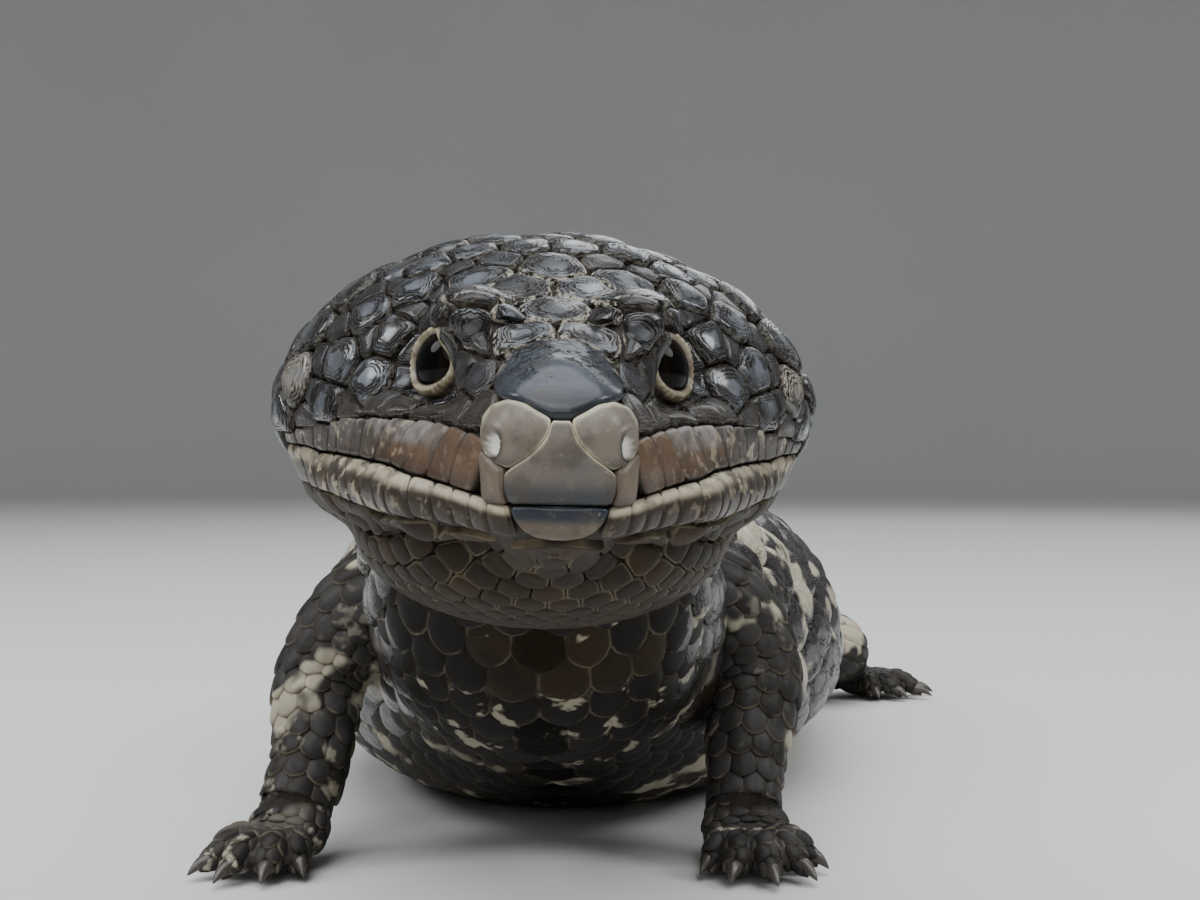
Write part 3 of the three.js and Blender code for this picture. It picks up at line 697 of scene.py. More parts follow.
def head_skin(form):
    """The head's bare skin: rings fan out from inside the snout and stand along the axis behind."""
    front, rear = np.array([0, 8, 3.0]), np.array([0, 61, 5.0])
    made = bmesh.ops.create_uvsphere(form, u_segments=140, v_segments=110, radius=1)["verts"]
    places = np.array([vert.co for vert in made])
    around = np.arctan2(places[:, 0], places[:, 1])
    along = np.arccos(np.clip(places[:, 2], -1, 1)) / math.pi
    fan_share, axis_share = 0.3, 0.64
    fan = np.minimum(along / fan_share, 1) * math.pi / 2
    slide = np.clip((along - fan_share) / axis_share, 0, 1)[:, None]
    inner = front + (rear - front) * slide
    direction = np.stack([np.sin(fan) * np.sin(around), -np.cos(fan), np.sin(fan) * np.cos(around)], -1)
    skin = march(inner, direction, level=-COAT_DEPTH)
    skin = skin - field_normal(head_field, skin) * sunk(skin)[:, None]
    closing = np.clip((along - 0.94) / 0.06, 0, 1)[:, None]
    skin = skin + (inner - skin) * closing
    skin = hollowed(skin)
    for vert, place in zip(made, to_body(skin)):
        vert.co = place


# Pressed into the head's skin: depths, and half width of the mouth line, radii of a socket and an ear
MOUTH_DEPTH, MOUTH_WIDTH = 0.6, 0.8
SOCKET_DEPTH, SOCKET = 4.0, (3.1, 4.5)
EAR_DEPTH, EAR_RADII = 2.6, (2.4, 2.4, 3.6)


def hollowed(skin):
    """Presses the mouth line, the eye sockets and the ears into the head's skin."""
    line = np.exp(-(((skin[:, 2] - lip_height(skin[:, 1])) / MOUTH_WIDTH) ** 2))
    line *= 1 - smoothstep(skin[:, 1], MOUTH_CORNER - 4, MOUTH_CORNER + 1)
    inward = -field_normal(head_field, skin)
    skin = skin + inward * (MOUTH_DEPTH * line)[:, None]
    for side in (1, -1):
        facing = mirrored(EYE_FACING, side)
        offset = skin - mirrored(EYE, side)
        depth = offset @ facing
        far = np.linalg.norm(offset - depth[:, None] * facing, axis=1)
        pressed = (1 - smoothstep(far, *SOCKET)) * (depth > -1)
        skin = skin - facing * (pressed * SOCKET_DEPTH)[:, None]
        offset = (skin - mirrored(EAR, side)) / EAR_RADII
        pressed = 1 - smoothstep(np.linalg.norm(offset, axis=1), 0.55, 1.1)
        skin = skin + inward * (pressed * EAR_DEPTH)[:, None]
    return skin


class Tube:
    """A round limb along a smooth path: its surface by station and angle."""

    def __init__(self, points, radii, flatten=1.0):
        points = np.array(points, float)
        padded = np.vstack([2 * points[0] - points[1], points, 2 * points[-1] - points[-2]])
        line = []
        for i in range(1, len(padded) - 2):
            a, b, c, d = padded[i - 1 : i + 3]
            for t in np.linspace(0, 1, 24, endpoint=False):
                line.append(
                    0.5 * (2 * b + (c - a) * t + (2 * a - 5 * b + 4 * c - d) * t**2)
                    + 0.5 * (3 * b - a - 3 * c + d) * t**3
                )
        line.append(points[-1])
        self.line = np.array(line)
        self.reach = lengths_along(self.line)
        self.length = self.reach[-1]
        self.tangent = unit(np.gradient(self.line, axis=0))
        side = [unit(np.cross(self.tangent[0], (0, 0, 1.0)))]
        for tangent in self.tangent[1:]:
            side.append(unit(side[-1] - tangent * (side[-1] @ tangent)))
        self.side = np.array(side)
        self.up = np.cross(self.side, self.tangent)
        stations = np.linspace(0, self.length, len(radii))
        self.radius = profile(np.stack([stations, radii], 1), 1)
        self.flatten = flatten

    def centre(self, s):
        return between(s, self.reach, self.line)

    def surface(self, s, angle, grow=0.0):
        s = np.clip(s, 0, self.length)
        side, up = (between(s, self.reach, directions) for directions in (self.side, self.up))
        r = (self.radius(s) + grow)[..., None]
        c, d = np.cos(angle)[..., None], np.sin(angle)[..., None]
        return self.centre(s) + r * (c * up * self.flatten + d * side)


# Legs: joints sideways from the trunk's middle line, behind the snout and above the floor
FORELEG = [[8, 111, 37], [22, 114, 34], [28, 114, 24], [26.5, 109, 14], [26, 105, 7.5]]
HINDLEG = [[18, 262, 17], [34, 257, 16], [45, 254, 13], [48, 262, 10], [49, 270, 6]]
FORELEG_RADII = [8.6, 8, 6.8, 5.8, 4.8]
HINDLEG_RADII = [10, 9.2, 7.8, 6.2, 5]
# Toes: bearing in degrees and length
FORE_TOES = [[-46, 5], [-20, 7], [4, 8], [28, 7.4], [58, 5.4]]
HIND_TOES = [[-46, 5.5], [-20, 7.5], [4, 9.5], [28, 9.5], [60, 6.5]]
# Palms: half width, length and height
FORE_PALM = (5.8, 6, 3.6)
HIND_PALM = (6, 8, 3.6)
# Then for each leg: its side, how far its foot stands further out, and the foot's heading in degrees
LEGS = {
    "foreleg_left": (FORELEG, FORELEG_RADII, FORE_PALM, FORE_TOES, 1, 0, 6),
    "foreleg_right": (FORELEG, FORELEG_RADII, FORE_PALM, FORE_TOES, -1, -8, 22),
    "hindleg_left": (HINDLEG, HINDLEG_RADII, HIND_PALM, HIND_TOES, 1, 0, 62),
    "hindleg_right": (HINDLEG, HINDLEG_RADII, HIND_PALM, HIND_TOES, -1, 0, 62),
}


def limb_tubes(joints, radii, palm, toes, side, lean, heading):
    """The tubes of one leg: the leg itself, the palm and the toes."""
    path = []
    for i, (out, s, z) in enumerate(joints):
        share = i / (len(joints) - 1)
        path.append([float(bend_at(s)) + side * out + lean * share, s + SNOUT_Y, z])
    wrist = np.array(path[-1])
    wide, long, height = palm

    def towards(degrees):
        turn = math.radians(heading + degrees)
        return np.array([side * math.sin(turn), -math.cos(turn), 0])

    def at(origin, direction, reach, z):
        point = origin + direction * reach
        point[2] = z
        return point

    middle = at(wrist, towards(0), 0.55 * long, height)
    spine = [
        at(wrist, towards(0), -0.2 * long, wrist[2] + 1),
        middle,
        at(wrist, towards(0), 1.25 * long, height * 0.9),
    ]
    tubes = {"leg": Tube(path, radii), "palm": Tube(spine, [wide * 0.75, wide, wide * 0.6], 0.6), "toes": []}
    for angle, length in toes:
        reach = wide * 0.5 + length
        stations = [(0.3, 3.4), (0.75, 3.7), (1, 2.2), (1.35, 0.7)]
        points = [at(middle, towards(angle), reach * share, z) for share, z in stations]
        tubes["toes"].append(Tube(points, [2.5, 2.3, 1.5, 0.2]))
    return tubes


SKIN_VOXEL = 0.95


def make_skin(limbs):
    """One skin over the head, the trunk and the legs, without a seam."""
    form = bmesh.new()
    head_skin(form)
    sleeve(
        form,
        lambda s, angle: body_point(s, angle) - COAT_DEPTH * surface_normal(body_point, s, angle),
        220, 96, NECK_START, TAIL_TIP - 0.6,
    )
    for tubes in limbs.values():
        # Each tube, how deep the skin lies in it, its grid and the share of its length
        parts = [(tubes["leg"], 0.3, 30, 24, 1), (tubes["palm"], 0.2, 12, 24, 1)]
        parts += [(toe, 0.15, 14, 14, 0.86) for toe in tubes["toes"]]
        for tube, depth, along, around, share in parts:
            sleeve(form, lambda s, a: tube.surface(s, a, -depth), along, around, 0, tube.length * share)
    bmesh.ops.recalc_face_normals(form, faces=form.faces)
    skin = added("skin", mesh_of(form, "skin"))
    remesh = skin.modifiers.new("remesh", "REMESH")
    remesh.mode = "VOXEL"
    remesh.voxel_size = SKIN_VOXEL
    remesh.use_smooth_shade = True
    smooth = skin.modifiers.new("smooth", "SMOOTH")
    smooth.factor = 0.5
    smooth.iterations = 2
    bpy.context.view_layer.update()
    shaped = bpy.data.meshes.new_from_object(skin.evaluated_get(bpy.context.evaluated_depsgraph_get()))
    skin.modifiers.clear()
    skin.data = shaped
    places = np.empty(len(shaped.vertices) * 3, np.float32)
    shaped.vertices.foreach_get("co", places)
    places[2::3] = np.maximum(places[2::3], FLOOR_GAP)
    shaped.vertices.foreach_set("co", places * MM)
    shaped.update()
    return skin


# Scales over the trunk and the legs

SCUTE_COLUMNS = 22
# How much longer a row of scales is for each millimetre of the trunk's half width
SCUTE_GROWTH = 0.125
BELLY_GROWTH = 0.035
SCUTE_PIECES = {"scutes_front": (0, 165), "scutes_rear": (165, 275), "scutes_tail": (275, 400)}
SMALL_SCALE = (16, [0.93, 0.75, 0.42])
LEG_BROWN = (0.040, 0.037, 0.034)
# A scale's outline: the bearings of its straight sides, and their distances
SCALE_WALLS = np.radians([0, 180, 62, 118, -90, -42, -138])
SCALE_LIMITS = np.array([1.0, 1.0, 0.98, 0.98, 0.95, 1.08, 1.08])


def walled(turns, bearings, limits, sharp, wide=0.0):
    """The reach at each bearing of an outline between straight walls, with rounded corners."""
    pull = np.maximum(np.cos(turns[:, None] - bearings), 0) / limits
    return (np.sum(pull**sharp, 1) + wide) ** (-1 / sharp)


def paving(
    name, form, surface, stations, angles, half_long, half_wide, rise, tilt_floor, dome, roots, **looks
):
    """Overlapping scales that point backwards: one at each station and angle of a surface."""
    x, y = form.spread(walled(form.turn, SCALE_WALLS, SCALE_LIMITS, 7), 0.85)
    s = stations[:, None] + half_long[:, None] * y
    angle = angles[:, None] + half_wide[:, None] * x
    base = surface(s, angle)
    normal = surface_normal(surface, s, angle)
    lift = np.clip((y + 1) / 2, 0, 1.1) ** 1.3
    edge_drop = 0.35 * np.minimum(rise[:, None] + 0.4, 1)
    height = tilt_floor + (rise[:, None] - tilt_floor) * lift
    height = height + dome[:, None] * (1 - form.rho**2) - edge_drop * form.rho**10
    deepest = np.where(form.foot, -0.9, -0.5)
    thick = np.minimum(height - 0.15, np.maximum(rise[:, None] * lift - 1.0, deepest))
    height = np.where(form.top, height, thick)
    rough = looks["rugose"][:, None] * form.top * (0.35 + 0.65 * form.rho)
    relief = 0.20 * grain(base, 1.5, 3) + 0.10 * grain(base, 0.8, 5)
    places = base + normal * (height + rough * relief)[..., None]
    places[..., 2] = np.maximum(places[..., 2], FLOOR_GAP)
    whole = (len(stations), len(x))
    corner_looks = {key: value[:, None] for key, value in looks.items()}
    corner_looks["ground"] = np.broadcast_to(corner_looks["ground"], whole + (3,))
    return joined(name, form, places, roots, rim=form.rho, **corner_looks)


def trunk_pitch(s, growth):
    return 3.6 + growth * width_at(s)


def trunk_rows(growth):
    rows = [COAT_START]
    while rows[-1] < COAT_END:
        rows.append(rows[-1] + float(trunk_pitch(rows[-1], growth)))
    return rows


def seats_around(rows, columns_at, first, last):
    """Staggered seats: station, angle between two limits, and half the angle from seat to seat."""
    seats = []
    for row, s in enumerate(rows):
        columns = columns_at(s)
        for column in range(-columns, columns + 1):
            angle = (column + row % 2 / 2) * 2 * math.pi / columns
            if first < abs(angle) <= last:
                seats.append((s, angle, math.pi / columns))
    return np.array(seats).T


def trunk_roots(stations, angles):
    return np.stack([angles / (2 * math.pi) + 0.5, (stations - 50) / 320], -1)


# the share given for the facets sets both the painted sky reflection on them and their coat
def scale_looks(count, rugose, ground, facet=0.0, dust=0.0):
    return {
        "tone": SEED.random(count),
        "facet": np.full(count, facet),
        "rugose": np.broadcast_to(np.asarray(rugose, float), (count,)).copy(),
        "ground": np.broadcast_to(np.asarray(ground, float), (count, 3)).copy(),
        "dust": np.full(count, dust),
    }


def make_scutes(material):
    """The pine-cone scutes over the neck, back, flanks and tail."""
    form = Form(24, [0.955, 0.88, 0.76, 0.58, 0.36])
    stations, angles, halves = seats_around(trunk_rows(SCUTE_GROWTH), lambda s: SCUTE_COLUMNS, -1, 2.15)
    lengths = trunk_pitch(stations, SCUTE_GROWTH)
    stations = np.minimum(stations + SEED.normal(0, 0.25, len(stations)), COAT_END)
    share = scute_share(stations, angles)
    rise = 0.5 + 1.5 * share
    size = SEED.normal(1, 0.04, len(stations))
    roots = trunk_roots(stations, angles)
    looks = scale_looks(len(stations), 0.35 + 0.65 * share, UMBER_DARK, 0.25, 0.2)
    for name, (start, end) in SCUTE_PIECES.items():
        kept = (stations >= start) & (stations < end)
        piece = paving(
            name, form, body_point, stations[kept], angles[kept],
            lengths[kept] * 0.66 * size[kept], halves[kept] * 1.04 * size[kept],
            rise[kept], -0.45, 0.35 + 0.45 * share[kept], roots[kept],
            **{key: value[kept] for key, value in looks.items()},
        )
        finish_piece(piece, material, "scute")


def make_belly(material):
    """Smaller smooth scales under the trunk and low on its flanks."""

    def columns_at(s):
        return max(10, round(math.pi * 2 * float(width_at(s)) / 5.4))

    rows = [s for s in trunk_rows(BELLY_GROWTH) if s < COAT_END]
    stations, angles, halves = seats_around(rows, columns_at, 1.95, math.pi)
    count = len(stations)
    ground = np.where(grain(trunk_point(stations, angles), 14, 2)[:, None] > 0.15, OLIVE, SOOT)
    piece = paving(
        "belly_scales", Form(*SMALL_SCALE), body_point, stations, angles,
        trunk_pitch(stations, BELLY_GROWTH) * 0.72, halves * 1.1, np.full(count, 0.55), -0.3,
        np.full(count, 0.15), trunk_roots(stations, angles), **scale_looks(count, 0.05, ground),
    )
    finish_piece(piece, material, "skin")


def make_limb_scales(limbs, material):
    """Rounded overlapping scales on the legs, the backs of the feet and the toes."""
    form = Form(*SMALL_SCALE)
    for name, tubes in limbs.items():
        # Each tube, its scales' length and width, how far round they go, and their height
        parts = [(tubes["leg"], 3.1, 3.6, 3.14, 0.42), (tubes["palm"], 2.4, 2.7, 2.2, 0.3)]
        parts += [(toe, 1.9, 2.9, 1.9, 0.22) for toe in tubes["toes"]]
        pieces = []
        for part, (tube, pitch, across, widest, rise) in enumerate(parts):

            def columns_at(s, tube=tube, across=across):
                return max(5, round(2 * math.pi * float(tube.radius(s)) / across))

            end = tube.length * (1.0 if part < 2 else 0.74)
            rows = np.arange(pitch * 0.4, end, pitch)
            stations, angles, halves = seats_around(rows, columns_at, -1, widest)
            count = len(stations)
            tile = np.array([part % 3, part // 3]) / 3
            roots = np.stack([angles / 20 + 0.16, stations / tube.length * 0.3 + 0.02], -1) + tile
            piece = paving(
                f"{name}_scales_{part}", form, tube.surface, stations, angles, np.full(count, pitch) * 0.72,
                halves * 1.12, np.full(count, rise), -0.25, np.full(count, 0.25), roots,
                **scale_looks(count, 0.15, LEG_BROWN),
            )
            pieces.append(piece)
        finish_piece(merge(pieces, f"{name}_scales"), material, "skin")


def merge(pieces, name):
    """Several pieces as one object."""
    with bpy.context.temp_override(
        active_object=pieces[0], object=pieces[0], selected_objects=pieces, selected_editable_objects=pieces
    ):
        bpy.ops.object.join()
    pieces[0].name = name
    pieces[0].data.name = name
    return pieces[0]


def make_claws(limbs, material):
    """A short curved claw on each toe."""
    form = bmesh.new()
    for tubes in limbs.values():
        for toe in tubes["toes"]:
            start = toe.length * 0.70

            def claw(s, angle, toe=toe, start=start):
                t = (s - start) / (toe.length - start)
                centre = toe.centre(s)
                centre[..., 2] += 0.5 * np.sin(t * math.pi) + 0.25
                radius = 1.15 * (1 - t) ** 0.75 + 0.06
                around = toe.surface(s, angle) - toe.centre(s)
                return centre + unit(around) * radius[..., None]

            sleeve(form, claw, 12, 14, start, toe.length)
    bmesh.ops.recalc_face_normals(form, faces=form.faces)
    finish_piece(piece_of(form, "claws"), material, "claw")


# Head plates

# The head's larger shields: kind, place on the left half, and radius
HEAD_SHIELDS = [
    ["top", (3.3, 12.7, 13.3), 2.8],
    ["top", (0, 17.4, 16.1), 2.2],
    ["top", (6.7, 13.5, 14.3), 2.2],
    ["top", (4.8, 14.6, 14.8), 1.6],
    ["side", (5.9, 13.3, 12.2), 1.6],
    ["side", (7.8, 14.8, 12.4), 1.7],
    ["top", (7.2, 17.4, 17.4), 3.3],
    ["top", (3.5, 22.6, 18.6), 2.7],
    ["top", (0, 26.4, 20.8), 2.3],
    ["top", (7.3, 25.8, 20.0), 2.9],
    ["ocular", (11.6, 23.6, 16.9), 1.7],
    ["side", (6.1, 5.4, 7.4), 1.9],
    ["side", (6.9, 8.6, 10.0), 1.9],
    ["side", (8.6, 12.2, 10.9), 1.9],
    ["side", (8.2, 9.2, 7.4), 2.0],
    ["side", (10.5, 13.4, 7.7), 1.9],
    ["side", (12.8, 17.4, 7.9), 1.8],
    ["side", (14.6, 20.8, 8.0), 1.8],
    ["temple", (12.3, 28.4, 18.6), 2.4],
    ["temple", (14.6, 25.6, 14.6), 2.2],
    ["temple", (17.0, 30.1, 16.5), 2.5],
    ["temple", (16.4, 25.0, 10.2), 2.5],
    ["temple", (19.6, 29.3, 12.2), 2.7],
    ["temple", (22.2, 37.0, 15.4), 2.9],
    ["temple", (20.4, 29.6, 8.4), 2.3],
    ["temple", (23.8, 34.6, 10.2), 2.7],
]
# Those behind the mental shield: place on the left half, and radius
CHIN_SHIELDS = [
    [(0, 3.6, -3.6), 2.3],
    [(2.4, 6.4, -4.8), 2.3],
    [(5.6, 8.2, -4.2), 2.1],
    [(4.4, 10.6, -6.4), 2.1],
]


def lip_band(y):
    """How far the upper and the lower lip shields reach from the mouth line."""
    upper = 4.5 - 0.05 * np.minimum(y, 34) - 1.5 * smoothstep(y, 24, 38)
    lower = 2.5 + 0.085 * np.minimum(y, 16) - 1.2 * smoothstep(y, 35, 46)
    return upper, lower


def ring_seats(rows, first, last, pitch, axis_z):
    """Staggered seats on rings round an axis at a height, from one bearing in degrees to another."""
    seats = []
    turns = np.radians(np.linspace(first, last, 160))
    direction = np.stack([np.cos(turns), 0 * turns, np.sin(turns)], -1)
    for row, y in enumerate(rows):
        ring = march(np.array([0, y, axis_z]), direction)
        reach = lengths_along(ring)
        seats += list(between(np.arange(row % 2 * pitch / 2, reach[-1], pitch), reach, ring))
    return seats


# The small scales round the lids: how many there would be without the lips, and how far off
EYE_RING, EYE_RING_RADIUS = 12, 5.2


def eye_ring_seats():
    facing, across, up = facing_frame(EYE_FACING, 1)
    turns = (np.arange(EYE_RING) + 0.5)[:, None] * 2 * math.pi / EYE_RING
    circle = EYE_RING_RADIUS * (np.cos(turns) * across + np.sin(turns) * up)
    return list(onto_head(EYE + facing * 2 + circle))


def head_seats():
    """Every seat on the left half: kind, place and radius."""
    seats = [(kind, onto_head(np.array(place, float)), size) for kind, place, size in HEAD_SHIELDS]

    def free(seat, clear):
        taken = np.array([other for _, other, _ in seats])
        return np.linalg.norm(taken - seat, axis=1).min() > clear

    def over_lip(seat, clear):
        return seat[2] > lip_height(seat[1]) + lip_band(seat[1])[0] + clear

    ring = [seat for seat in eye_ring_seats() if over_lip(seat, 0.7) and free(seat, 2.4)]
    seats += [("ocular", seat, 1.25) for seat in ring]
    for seat in ring_seats(np.arange(27.5, 57.5, 4.7), 90, -6, 5.0, 8):
        if (over_lip(seat, 1.4) or seat[1] > MOUTH_CORNER - 2 and seat[2] > -1) and free(seat, 4.1):
            shift = SEED.normal(0, 0.45, 3) * (abs(seat[0]) > 1, 1, 1)
            seats.append(("temple", onto_head(seat + shift), SEED.uniform(2.2, 2.8)))
    for seat in ring_seats(np.arange(8.5, 33, 1.2), 90, -6, 1.0, 7):
        off_eye = np.linalg.norm(seat - EYE_SPOT) > 5.0
        if seat[0] > 5 and over_lip(seat, 1.0) and off_eye and free(seat, 2.7):
            seats.append(("side", seat, 1.5))
    chin = [onto_head(np.array(place, float)) for place, _ in CHIN_SHIELDS]
    seats += [("throat", place, size) for place, (_, size) in zip(chin, CHIN_SHIELDS)]
    for seat in ring_seats(np.arange(5.2, 58, 2.5), -90, 0, 3.0, 1.5):
        roomy = np.linalg.norm(np.array(chin) - seat, axis=1).min() > 3.1
        if seat[2] < lip_height(seat[1]) - lip_band(seat[1])[1] - 0.8 and roomy and free(seat, 2.1):
            seats.append(("throat", seat, 1.6))
    return seats


# The upright shields on the front of the snout: outlines on the left half, seen from in front.
# Those of the paired shields are whole, and the others are halves of one over the middle line
SNOUT_SHIELDS = {
    "rostral": [
        [3.75, 0.12], [4.1, 1.0], [4.1, 2.3], [3.75, 2.65], [3.2, 3.05], [2.4, 3.65],
        [1.65, 4.4], [1.15, 5.0], [0.85, 5.7], [0.78, 6.25],
    ],
    "frontonasal": [
        [0.7, 6.55], [1.7, 6.98], [2.8, 7.6], [3.9, 7.9], [4.7, 8.1], [5.1, 9.4], [3.9, 11.7], [1.4, 13.0],
    ],
    "mental": [[0.5, -2.45], [1.7, -2.3], [2.7, -1.85], [3.35, -1.1], [3.65, -0.12]],
    "nasal": [
        [0.86, 6.4], [0.95, 5.75], [1.25, 5.08], [1.75, 4.47], [2.5, 3.73], [3.3, 3.13],
        [3.9, 2.78], [4.6, 3.1], [5.2, 3.65], [5.75, 4.5], [5.85, 5.4], [5.7, 6.5],
        [5.1, 7.4], [3.95, 7.75], [2.8, 7.45], [1.75, 6.85],
    ],
    "first_lip": [
        [3.95, 0.12], [5.5, 0.12], [5.8, 2.0], [5.95, 4.3], [5.4, 3.7], [4.7, 3.05], [4.25, 2.6], [4.25, 1.0],
    ],
}
PAIRED_SHIELDS = ("nasal", "first_lip")
SNOUT_COLOURS = {
    "rostral": (0.122, 0.103, 0.084),
    "nasal": (0.145, 0.122, 0.098),
    "first_lip": (0.122, 0.094, 0.068),
    # the frontonasal's slate blue is partly painted sky reflection over its dark horn
    "frontonasal": (0.030, 0.036, 0.046),
    "mental": (0.115, 0.090, 0.066),
}


def whole_outlines():
    """Every shield's closed outline with its name and side."""
    for name, half in SNOUT_SHIELDS.items():
        half = np.array(half)
        if name in PAIRED_SHIELDS:
            yield name, 1, half
            yield name, -1, half * (-1, 1)
        else:
            yield name, 1, np.vstack([half, half[::-1] * (-1, 1)])


def outline_reach(corner, turns):
    """How far an outline lies from its middle at each bearing."""
    along = np.roll(corner, -1, 0) - corner
    ray = np.stack([np.cos(turns), np.sin(turns)], -1)[:, None]
    steep = ray[..., 0] * along[:, 1] - ray[..., 1] * along[:, 0]
    steep = np.where(np.abs(steep) < 1e-9, 1e-9, steep)
    far = (corner[:, 0] * along[:, 1] - corner[:, 1] * along[:, 0]) / steep
    place = (corner[:, 0] * ray[..., 1] - corner[:, 1] * ray[..., 0]) / steep
    return np.where((place >= -1e-6) & (place <= 1 + 1e-6) & (far > 0), far, 0).max(1)


def rounded_outline(outline, turns):
    """The middle of an outline, and its reach at each bearing with the corners a little rounded."""
    middle = (outline.min(0) + outline.max(0)) / 2
    reach = sum(outline_reach(outline - middle, turns + turn) for turn in (0, 0.05, -0.05)) / 3
    return middle, reach + 0.05


def from_front(flat):
    """Points of a front view, sideways and up, set on the snout."""
    start = np.stack([flat[..., 0], np.full(flat.shape[:-1], 16.0), flat[..., 1]], -1)
    return march(start, np.array([0, -1.0, 0]), snout_field, 0.0, 30.0)


def toned(ground, colour, share):
    return ground + (np.array(colour) - ground) * np.clip(share, 0, 1)[..., None]


def nostril_paint(u, v, height, ground):
    """An oval pit with a pale wet floor, and painted shadow along its inner and lower edge."""
    far = np.hypot(u, v)
    pit, brim = 1 - smoothstep(far, 0.65, 1.1), np.exp(-(((far - 1.35) / 0.25) ** 2))
    height = height - 0.50 * pit + 0.14 * brim
    shade = np.exp(-(((far - 1.15) / 0.30) ** 2)) * smoothstep(-0.8 * u - 0.6 * v, -0.5, 0.5)
    ground = toned(ground, (0.62, 0.60, 0.54), 1 - smoothstep(far, 0.65, 0.95))
    return height, toned(ground, (0.022, 0.018, 0.016), shade * 0.95)


def snout_ground(name, x, z, edge, rho):
    """The colours of a snout shield's corners."""
    ground = np.broadcast_to(SNOUT_COLOURS[name], (len(x), 3)).copy()
    line = 1 - smoothstep(edge, 0.08, 0.24)
    cream = (0.50, 0.47, 0.33)
    if name == "nasal":
        ground = toned(ground, (0.060, 0.052, 0.045), smoothstep(-z, -3.9, -2.9) * 0.9)
        ground = toned(ground, cream, (1 - smoothstep(edge, 0.25, 0.6)) * smoothstep(z, 5.6, 6.6) * 0.7)
        return toned(ground, cream, line * (0.3 + 0.7 * smoothstep(z, 3.2, 5)))
    if name == "rostral":
        ground = toned(ground, (0.034, 0.036, 0.040), smoothstep(-z, -2.5, -0.6))
        spot = np.exp(-(((x - 1.4) / 1.5) ** 2 + ((z - 3) / 1.2) ** 2))
        ground = toned(ground, (0.080, 0.078, 0.078), spot * 0.5)
        return toned(ground, cream, line * smoothstep(z, 2.0, 2.7))
    if name == "first_lip":
        return toned(ground, (0.065, 0.045, 0.040), smoothstep(-z, -1.0, -0.2) * 0.8)
    if name == "mental":
        return toned(ground, (0.014, 0.018, 0.026), smoothstep(z, -1.6, -0.8))
    ground = toned(ground, (0.010, 0.011, 0.014), smoothstep(-z, -8.8, -7.2) * 0.8)
    return toned(ground, (0.016, 0.014, 0.014), smoothstep(rho, 0.76, 1.0) * smoothstep(z, 7.5, 9.5) * 0.9)


def make_snout(smooth, horn):
    """The smooth rostral, nasals, first lip shields and mental, and the horny frontonasal."""
    form = Form(96, [0.985, 0.955, 0.91, 0.85, 0.77, 0.68, 0.58, 0.48, 0.38, 0.28, 0.18, 0.09])
    names, places, grounds = [], [], []
    for name, side, outline in whole_outlines():
        middle, radius = rounded_outline(outline, form.turn)
        across, up = form.spread(radius, FOOT_SHARE)
        x, z = middle[0] + across, middle[1] + up
        base = from_front(np.stack([x, z], -1))
        normal = field_normal(snout_field, base)
        edge = (1 - form.rho) * radius
        bulge = 0.5 if name == "frontonasal" else 0.16
        height = 0.30 + 0.20 * smoothstep(edge, 0.0, 0.26) + bulge * (1 - form.rho**2)
        ground = snout_ground(name, x, z, edge, form.rho)
        if name == "nasal":
            u, v = (x * side - NOSTRIL[0]) / 0.5, z - NOSTRIL[1]
            height, ground = nostril_paint(u, v, height, ground)
        height = height + 0.05 * grain(base, 1.6, 8)
        height = form.closed(height, -0.6, -1.0)
        names.append(name)
        places.append(to_body(base + normal * height[:, None]))
        grounds.append(ground)
    places, grounds = np.array(places), np.array(grounds)
    top = np.array(names) == "frontonasal"
    piece = joined(
        "snout_shields", form, places[~top], grid_roots(sum(~top)),
        rim=form.rho, ground=grounds[~top], seam=0.0, mottle=0.1,
    )
    finish_piece(piece, smooth, "lip")
    upper = smoothstep(places[top][0, :, 2], MOUTH_HEIGHT + 8.5, MOUTH_HEIGHT + 10.5)
    piece = joined(
        "frontonasal_shield", form, places[top], grid_roots(1),
        rim=form.rho * (0.3 + 0.7 * upper), tone=0.3, rugose=upper, facet=0.1, dust=0.5, ground=grounds[top],
    )
    finish_piece(piece, horn, "scute")


# Space between plates, round an eye and round an ear, and how far off a wall can be
GROOVE, THROAT_GROOVE = 0.16, 0.10
EYE_CLEAR, EAR_CLEAR = 4.2, 2.7
WALL_RANGE = 7
# Plates that lie further behind the snout get fewer rings
FRONT_END = 33


def plate_walls(i, kinds, places, sizes, snout, openings):
    """The walls of one plate: offsets towards them and their distances."""
    place, kind = places[i], kinds[i]
    apart = places - place
    far = np.linalg.norm(apart, axis=1)
    near = (far > 1e-6) & (far < 2 * WALL_RANGE)
    groove = THROAT_GROOVE if kind == "throat" else GROOVE
    limit = (far[near] ** 2 + sizes[i] ** 2 - sizes[near] ** 2) / (2 * far[near]) - groove / 2
    walls, limits = [apart[near]], [limit]
    touch = snout - place
    gap = np.linalg.norm(touch, axis=1)
    close = np.argsort(gap)[:3]
    if gap[close[0]] < WALL_RANGE:
        walls.append(touch[close])
        limits.append(gap[close] + 0.1)
    for centre, clear in openings:
        gap = np.linalg.norm(centre - place)
        if gap < clear + WALL_RANGE:
            walls.append((centre - place)[None])
            limits.append(np.array([gap - clear]))
    if place[1] < (MOUTH_CORNER if kind == "throat" else MOUTH_CORNER - 5):
        upper, lower = lip_band(place[1])
        drop = lip_height(place[1]) + (-lower if kind == "throat" else upper) - place[2]
        if abs(drop) < WALL_RANGE:
            walls.append(np.array([[0, 0, drop]]))
            limits.append(np.array([abs(drop) + 0.15]))
    return np.vstack(walls), np.maximum(np.concatenate(limits), 0.3)


